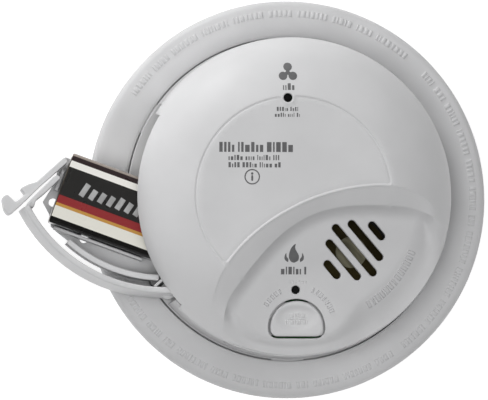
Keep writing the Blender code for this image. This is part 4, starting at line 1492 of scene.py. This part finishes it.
@dataclass
class BatteryDrawer:
    """The swinging tray: floor, outer and inner arc walls, arm, knuckle, rib and stop."""

    shut: float = -55.0
    low: float = 8.0
    floor: float = 1.6
    top: float = 27.0
    wall_top: float = 33.8
    foot: float = 58.5
    head: float = 57.1
    wall: float = 2.2
    wall_turn: tuple[float, float] = (207.3, 273.1)
    inner_radius: float = 51.3
    inner_top: float = 24.0
    inner_turn: tuple[float, float] = (228.0, 268.3)
    knuckle_top: float = 22.0
    bore: float = 1.6
    rim: float = 0.6
    corner: tuple[float, float] = (-88.4, -9.1)
    battery_turn: float = -20.0
    finger_holes: Outline = ((-86.2, -1.6), (-74.9, -14.9))
    arm: Outline = (
        (-95.0, -1.2), (-86.5, 7.2), (-84.9, 7.7), (-83.8, 6.6), (-89.9, 0.9), (-93.0, -1.6), (-93.6, -4.2),
        (-96.8, -4.2))
    web: Outline = ((-52.0, -35.8), (-43.0, -34.5), (-44.5, -31.2), (-52.0, -32.6))
    gusset: Outline = ((-50.1, -32.3), (-47.3, -29.6), (-46.6, -30.3), (-49.4, -33.0))

    def __post_init__(self) -> None:
        """Finds the pin and the centre of the arc walls: the axis of the alarm turned back about the pin."""
        self.pin = joint_place("drawer_swing")
        self.centre = turned((0.0, 0.0), -self.shut, self.pin)

    def on_battery(self, points: Any) -> Array:
        """Points given along and across the battery, from its outer lower corner."""
        return turned(points, self.battery_turn) + np.asarray(self.corner)

    def outer_wall(self) -> Skin:
        """The outer wall: a leaning plate with a rounded rim, carried along its arc.

        Returns:
            The closed wall.
        """
        a = np.linspace(*self.wall_turn, 64)
        r, quarter = self.rim, np.linspace(0, 90, 6)
        outer = polar(r, quarter, (-r, self.wall_top - r))
        inner = polar(r, quarter + 90, (r - self.wall, self.wall_top - r))
        profile = np.concatenate([[(-self.wall, self.low), (0.0, self.low)], outer, inner])
        share = (profile[:, 1] - self.low) / (self.wall_top - self.low)
        radius = self.foot + (self.head - self.foot) * share + profile[:, 0]
        flat = polar(radius[None], a[:, None], self.centre)
        z = np.broadcast_to(profile[:, 1, None], flat.shape[:2] + (1,))
        return Skin(np.concatenate([flat, z], -1).reshape(-1, 3), capped_tube(len(a), len(profile)))

    def inner_wall(self) -> Skin:
        """The lower wall beside the battery, with a rounded rim.

        Returns:
            The closed wall.
        """
        a = np.linspace(*self.inner_turn, 40)
        half = (self.inner_top - self.low) / 2
        path = np.column_stack([polar(self.inner_radius, a, self.centre), np.full(len(a), self.low + half)])
        return carried(path, box_outline((-self.wall / 2, -half), (self.wall / 2, half), 0.5, 4))

    def floor_plate(self) -> Skin:
        """The floor with two round holes.

        Returns:
            The closed plate.
        """
        arc = polar(50.6, np.linspace(228.5, 262.0, 20), self.centre)
        under_battery = self.on_battery([(46.5, 1.0), (46.5, 25.0), (1.5, 25.0)])
        outline = np.concatenate([
            [(-89.9, -1.4), (-87.6, -5.8), (-86.9, -10.4), (-84.5, -12.6)], arc,
            [(-46.0, -33.0), (-42.6, -31.0)],
            under_battery, [(-81.6, 15.0), (-84.0, 12.4), (-85.6, 5.4)]])
        holes = [ring_outline(1.5, spot, 24) for spot in self.finger_holes]
        return slab([outline, *holes], self.low, self.low + self.floor, edge=0.2, spacing=5.0)

    def build(self) -> None:
        """Makes the whole tray as one piece."""
        low, top, high = self.low, self.top, self.knuckle_top
        rib = self.on_battery([(3.0, -1.5), (37.0, -1.5), (37.0, -0.4), (3.0, -0.4)])
        stop = self.on_battery([(-1.6, 12.0), (-0.4, 12.0), (-0.4, 20.0), (-1.6, 20.0)])
        plates = [
            slab([softened(self.arm, 0.9)], low - 0.1, top - 0.1, edge=0.45, spacing=3.0),
            slab([self.web], low + 0.1, 12.0, edge=0.2), slab([self.gusset], low + 0.2, top, edge=0.25),
            slab([rib], low + 1.2, 18.0, edge=0.3), slab([stop], low + 1.2, 16.0, edge=0.25),
        ]
        sleeve = [(self.bore, low - 0.1), (2.8, low - 0.1), (3.0, low + 0.1), (3.0, high - 0.4),
                  (2.6, high),
                  (self.bore + 0.2, high), (self.bore, high - 0.2)]
        knuckle = lathe(sleeve, self.pin, 48, closed=True)
        parts = [self.floor_plate(), self.outer_wall(), self.inner_wall(), *plates, knuckle]
        make_piece("battery_drawer_tray", together(parts), WHITE_ABS, "drawer", "battery_drawer")


@dataclass
class LatchArm:
    """The springy arm with its barb and finger hook."""

    low: float = 10.0
    high: float = 25.0
    outline: Outline = (
        (-82.6, 14.3), (-87.2, 10.2), (-92.6, 5.3), (-95.6, 4.5), (-98.5, 2.9), (-97.0, 1.0), (-97.0, 0.4),
        (-100.2, -2.1),
        (-103.1, 0.7), (-104.4, 0.3), (-105.15, -0.7), (-104.5, -4.4), (-103.4, -6.2), (-102.4, -6.6),
        (-101.2, -5.9),
        (-97.5, -2.4), (-90.6, 4.4), (-81.2, 12.6))

    def build(self) -> None:
        """Makes the arm as a plate on edge with softened corners and edges."""
        plate = slab([softened(self.outline, 0.7)], self.low, self.high, edge=0.4, spacing=3.0)
        make_piece("drawer_latch", plate, WHITE_ABS, "latch", "drawer_latch_arm")


@dataclass
class NineVolt:
    """The nine-volt battery: printed sleeve with rolled edges, end plates and two snaps."""

    drawer: BatteryDrawer
    length: float = 48.5
    width: float = 26.5
    thick: float = 17.2
    bottom: float = 9.9
    snap_spacing: float = 12.7
    snap_rise: float = 1.7
    board: float = 2.8
    bar_width: float = 2.3
    bar_slant: float = 14.0
    bar_heights: tuple[float, ...] = (5.4, 4.2, 4.2, 4.2, 4.8, 4.2, 4.2, 4.2, 5.0)
    stud: Outline = ((0, 0), (2.9, 0), (2.9, 0.3), (2.5, 0.5), (2.5, 1.0), (2.9, 1.3), (2.7, 1.65),
                     (2.2, 1.7), (0, 1.7))
    cup: Outline = ((0, 0), (3.8, 0), (3.8, 0.4), (3.3, 0.6), (3.6, 1.5), (3.4, 1.7), (3.0, 1.6),
                    (2.9, 0.5), (0, 0.5))

    def place(self, points: Array) -> Array:
        """Turns points given along, across and up on the battery to their place."""
        return np.column_stack([self.drawer.on_battery(points[:, :2]), points[:, 2]])

    def body(self, start: float, end: float, inset: float, corner: float, lip: float) -> Skin:
        """A rounded-rectangle section carried along the battery, drawn in at both ends.

        Args:
            start: Where it starts along the battery.
            end: Where it ends.
            inset: How far its sides lie inside the full section.
            corner: Radius of its long edges.
            lip: How far its ends are drawn in.

        Returns:
            The closed body.
        """
        half_w, half_t = self.width / 2 - inset, self.thick / 2 - inset
        at = np.array([start, start + lip * 0.3, start + lip, (start + end) / 2, end - lip, end - lip * 0.3,
                       end])
        draw = np.array([lip, lip * 0.3, 0, 0, 0, lip * 0.3, lip])
        sections = np.stack([box_outline((-half_w + d, -half_t + d), (half_w - d, half_t - d), corner,
                                         6) for d in draw])
        along = np.broadcast_to(at[:, None, None], sections.shape[:2] + (1,))
        points = np.concatenate([along, sections], -1).reshape(-1, 3)
        points += (0, self.width / 2, self.bottom + self.thick / 2)
        return Skin(self.place(points), capped_tube(len(at), sections.shape[1]))

    def lettering_bars(self) -> Skin:
        """Plain slanted bars of silver ink on the black band, in place of a printed word.

        Returns:
            The nine bars.
        """
        tall = np.array(self.bar_heights)
        along = np.linspace(8.5, 36.0, len(tall))
        places = self.drawer.on_battery(np.column_stack([along, 12.4 + tall / 2]))
        sizes = np.column_stack([np.full(len(along), self.bar_width), tall])
        turns = np.full(len(along), self.drawer.battery_turn - self.bar_slant)
        top = self.bottom + self.thick
        return raised_blocks(places, turns, sizes, 0.05, lambda p: np.full(len(p), top), corner=0.3)

    def snap(self, side: int, profile: Sequence[tuple[float, float]], steps: int) -> Skin:
        """A snap turned about an axis along the battery.

        Args:
            side: 1 or -1, for its side of the middle.
            profile: Radius and height of each row.
            steps: Sides in a full turn.

        Returns:
            The turned surface in place.
        """
        upright = lathe(profile, steps=steps)
        p = upright.points
        along = p[:, 2] + self.length - self.snap_rise
        across = p[:, 0] + self.width / 2 + side * self.snap_spacing / 2
        lying = np.column_stack([along, across, p[:, 1] + self.bottom + self.thick / 2])
        return Skin(self.place(lying), upright.faces)

    def build(self) -> None:
        """Makes the sleeve, its rolled ends, the end plates and the snaps."""
        end, board = self.length, self.length - self.board
        sleeve = self.body(0.3, end - 3.4, 0.0, 1.6, 0.3)
        make_piece("battery_sleeve_print_and_edge_sheen", sleeve, SLEEVE_PRINT_AND_EDGE_SHEEN, "drawer", "battery_sleeve")
        rolled = together([self.body(0.12, 0.5, 0.3, 1.4, 0.1),
                           self.body(end - 3.5, board, 0.12, 1.5, 0.25)])
        make_piece("battery_silver_bars", self.lettering_bars(), SILVER_INK, "drawer", sharp=60)
        make_piece("battery_rolled_ends", rolled, TINPLATE, "drawer")
        make_piece("battery_base", self.body(0.0, 0.5, 0.7, 1.1, 0.15), PLATED_STEEL, "drawer",
                   "battery_base_cap")
        plate = self.body(board, end - 2.0, 0.5, 1.2, 0.15)
        make_piece("battery_terminal_board", plate, CREAM_NYLON, "drawer", "battery_terminal_plate")
        make_piece("battery_stud", self.snap(1, self.stud, 40), PLATED_STEEL, "drawer",
                   "battery_positive_snap")
        make_piece("battery_socket_snap", self.snap(-1, self.cup, 6), PLATED_STEEL, "drawer",
                   "battery_negative_snap")


@dataclass
class Works:
    """Everything inside and behind: CAD pieces get their finish, the label gets plain bars."""

    label_rows: int = 6
    label_columns: int = 9

    def build(self) -> None:
        """Dresses the inner pieces and makes the rear label's bars."""
        dress(GREEN_BOARD, "circuit_board")
        dress(BLACK_NYLON, "controller_chip", "sensor_chip", "electrolytic_capacitor_1",
              "electrolytic_capacitor_2", "interconnect_relay",
              "smoke_chamber_base", "smoke_chamber_cap", "mains_socket", "contact_block", "switch_body")
        dress(PAN_ABS, "switch_plunger")
        dress(SMOKED_ACRYLIC, "power_light", "co_light", "power_light_pipe", "co_light_pipe")
        dress(YELLOW_EPOXY, "film_capacitor", "surge_absorber")
        dress(PLATED_STEEL, "board_screw_1", "board_screw_2", "board_screw_3", "source_holder",
              "collector_plate", "collector_post",
              "co_cell", "positive_contact", "negative_contact", "drawer_pin", "button_spring")
        dress(ROLLED_BRASS_PAINTED_SHADE, "line_pin", "neutral_pin", "interconnect_pin")
        dress(WHITE_ABS, "co_cell_filter_cap")
        low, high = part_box("rear_label")
        x0, y0, x1, y1 = low.x / MM, low.y / MM, high.x / MM, high.y / MM
        sheet = slab([box_outline((x0, y0), (x1, y1), 1.2)], low.z / MM, high.z / MM, edge=0.0, spacing=4.0)
        make_piece("rear_label_sheet", sheet, LABEL_PAPER, "alarm", "rear_label")
        draw = np.random.default_rng(5)
        count = self.label_rows * self.label_columns
        rows = np.repeat(np.linspace(y0 + 2.0, y1 - 2.0, self.label_rows), self.label_columns)
        columns = np.tile(np.linspace(x0 + 3.0, x1 - 3.0, self.label_columns), self.label_rows)
        places = np.column_stack([columns, rows])
        sizes = np.column_stack([draw.uniform(1.8, 3.6, count), np.full(count, 0.7)])
        under = low.z / MM
        bars = raised_blocks(places, np.zeros(count), sizes, 0.03, lambda p: np.full(len(p), -under),
                             corner=0.05)
        make_piece("rear_label_print", bars.moved(lambda p: p * (1, 1, -1)), INK, "alarm", sharp=60)


@dataclass
class Studio:
    """A pale floor, soft lights and the camera."""

    target: tuple[float, float, float] = (-0.0159, -0.0003, 0.005)
    tilt: tuple[float, float, float] = (-0.07, -0.04, 1.0)
    reach: float = 2.0
    lens: float = 403.5
    sensor: float = 36.0
    floor_half: float = 3000.0
    floor_drop: float = 0.4

    def light(self, name: str, place: Sequence[float], size: float, power: float, *,
              glossy: bool = True) -> None:
        """A square soft light that faces the alarm.

        Args:
            name: The light's name.
            place: Where it hangs, in metres.
            size: Its side, in metres.
            power: Its power, in watts.
            glossy: Whether glossy surfaces mirror it.
        """
        lamp = bpy.data.lights.new(name, "AREA")
        lamp.size, lamp.energy = size, power
        made = bpy.data.objects.new(name, lamp)
        bpy.context.scene.collection.objects.link(made)
        made.location = place
        made.visible_glossy = glossy
        made.rotation_euler = (Vector(self.target) - Vector(place)).to_track_quat("-Z", "Y").to_euler()

    def build(self) -> None:
        """Sets the floor, the lights, the surroundings and the camera."""
        half = self.floor_half
        corners = [(-half, -half), (half, -half), (half, half), (-half, half)]
        floor = Skin(np.array([(x, y, -self.floor_drop) for x, y in corners]), [np.array([[0, 1, 2, 3]])])
        make_piece("studio_floor", floor, STUDIO_PAPER, None)
        self.light("key_light", (-0.512, 0.819, 0.289), 0.4, 5.4)
        self.light("left_light", (-0.229, -0.143, 1.302), 0.6, 9.9, glossy=False)
        self.light("right_light", (0.191, 0.12, 1.31), 0.6, 2.8, glossy=False)
        world = bpy.data.worlds.new("studio_surroundings")
        world.use_nodes = True
        background = world.node_tree.nodes["Background"]
        background.inputs["Color"].default_value = linear("#f4f5f7")
        background.inputs["Strength"].default_value = 0.05
        bpy.context.scene.world = world
        bpy.context.scene.view_settings.view_transform = "Standard"
        camera = bpy.data.objects.new("camera", bpy.data.cameras.new("camera"))
        bpy.context.scene.collection.objects.link(camera)
        camera.data.lens, camera.data.sensor_width = self.lens, self.sensor
        target, away = Vector(self.target), Vector(self.tilt)
        ahead = -away.normalized()
        right = ahead.cross(Vector((0, 1, 0))).normalized()
        up = right.cross(ahead)
        turn = Matrix((right, up, -ahead)).transposed().to_4x4()
        camera.matrix_world = Matrix.Translation(target + away * self.reach) @ turn
        bpy.context.scene.camera = camera


def main() -> None:
    """Builds every sub-assembly in order."""
    logging.basicConfig(level=logging.INFO, format="%(message)s")
    cover, drawer = FrontCover(), BatteryDrawer()
    parts = (TrimRing(), RearHousing(), cover, Markings(cover), TestButton(cover), Sounder(), drawer,
             LatchArm(),
             NineVolt(drawer), Works(), Studio())
    for part in parts:
        part.build()
        LOG.info("%s done", type(part).__name__)
    boxes = {"cad": CAD_BOX, "visual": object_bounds()}
    boxes = {name: [[float(c) for c in corner] for corner in box] for name, box in boxes.items()}


if __name__ == "__main__":
    main()
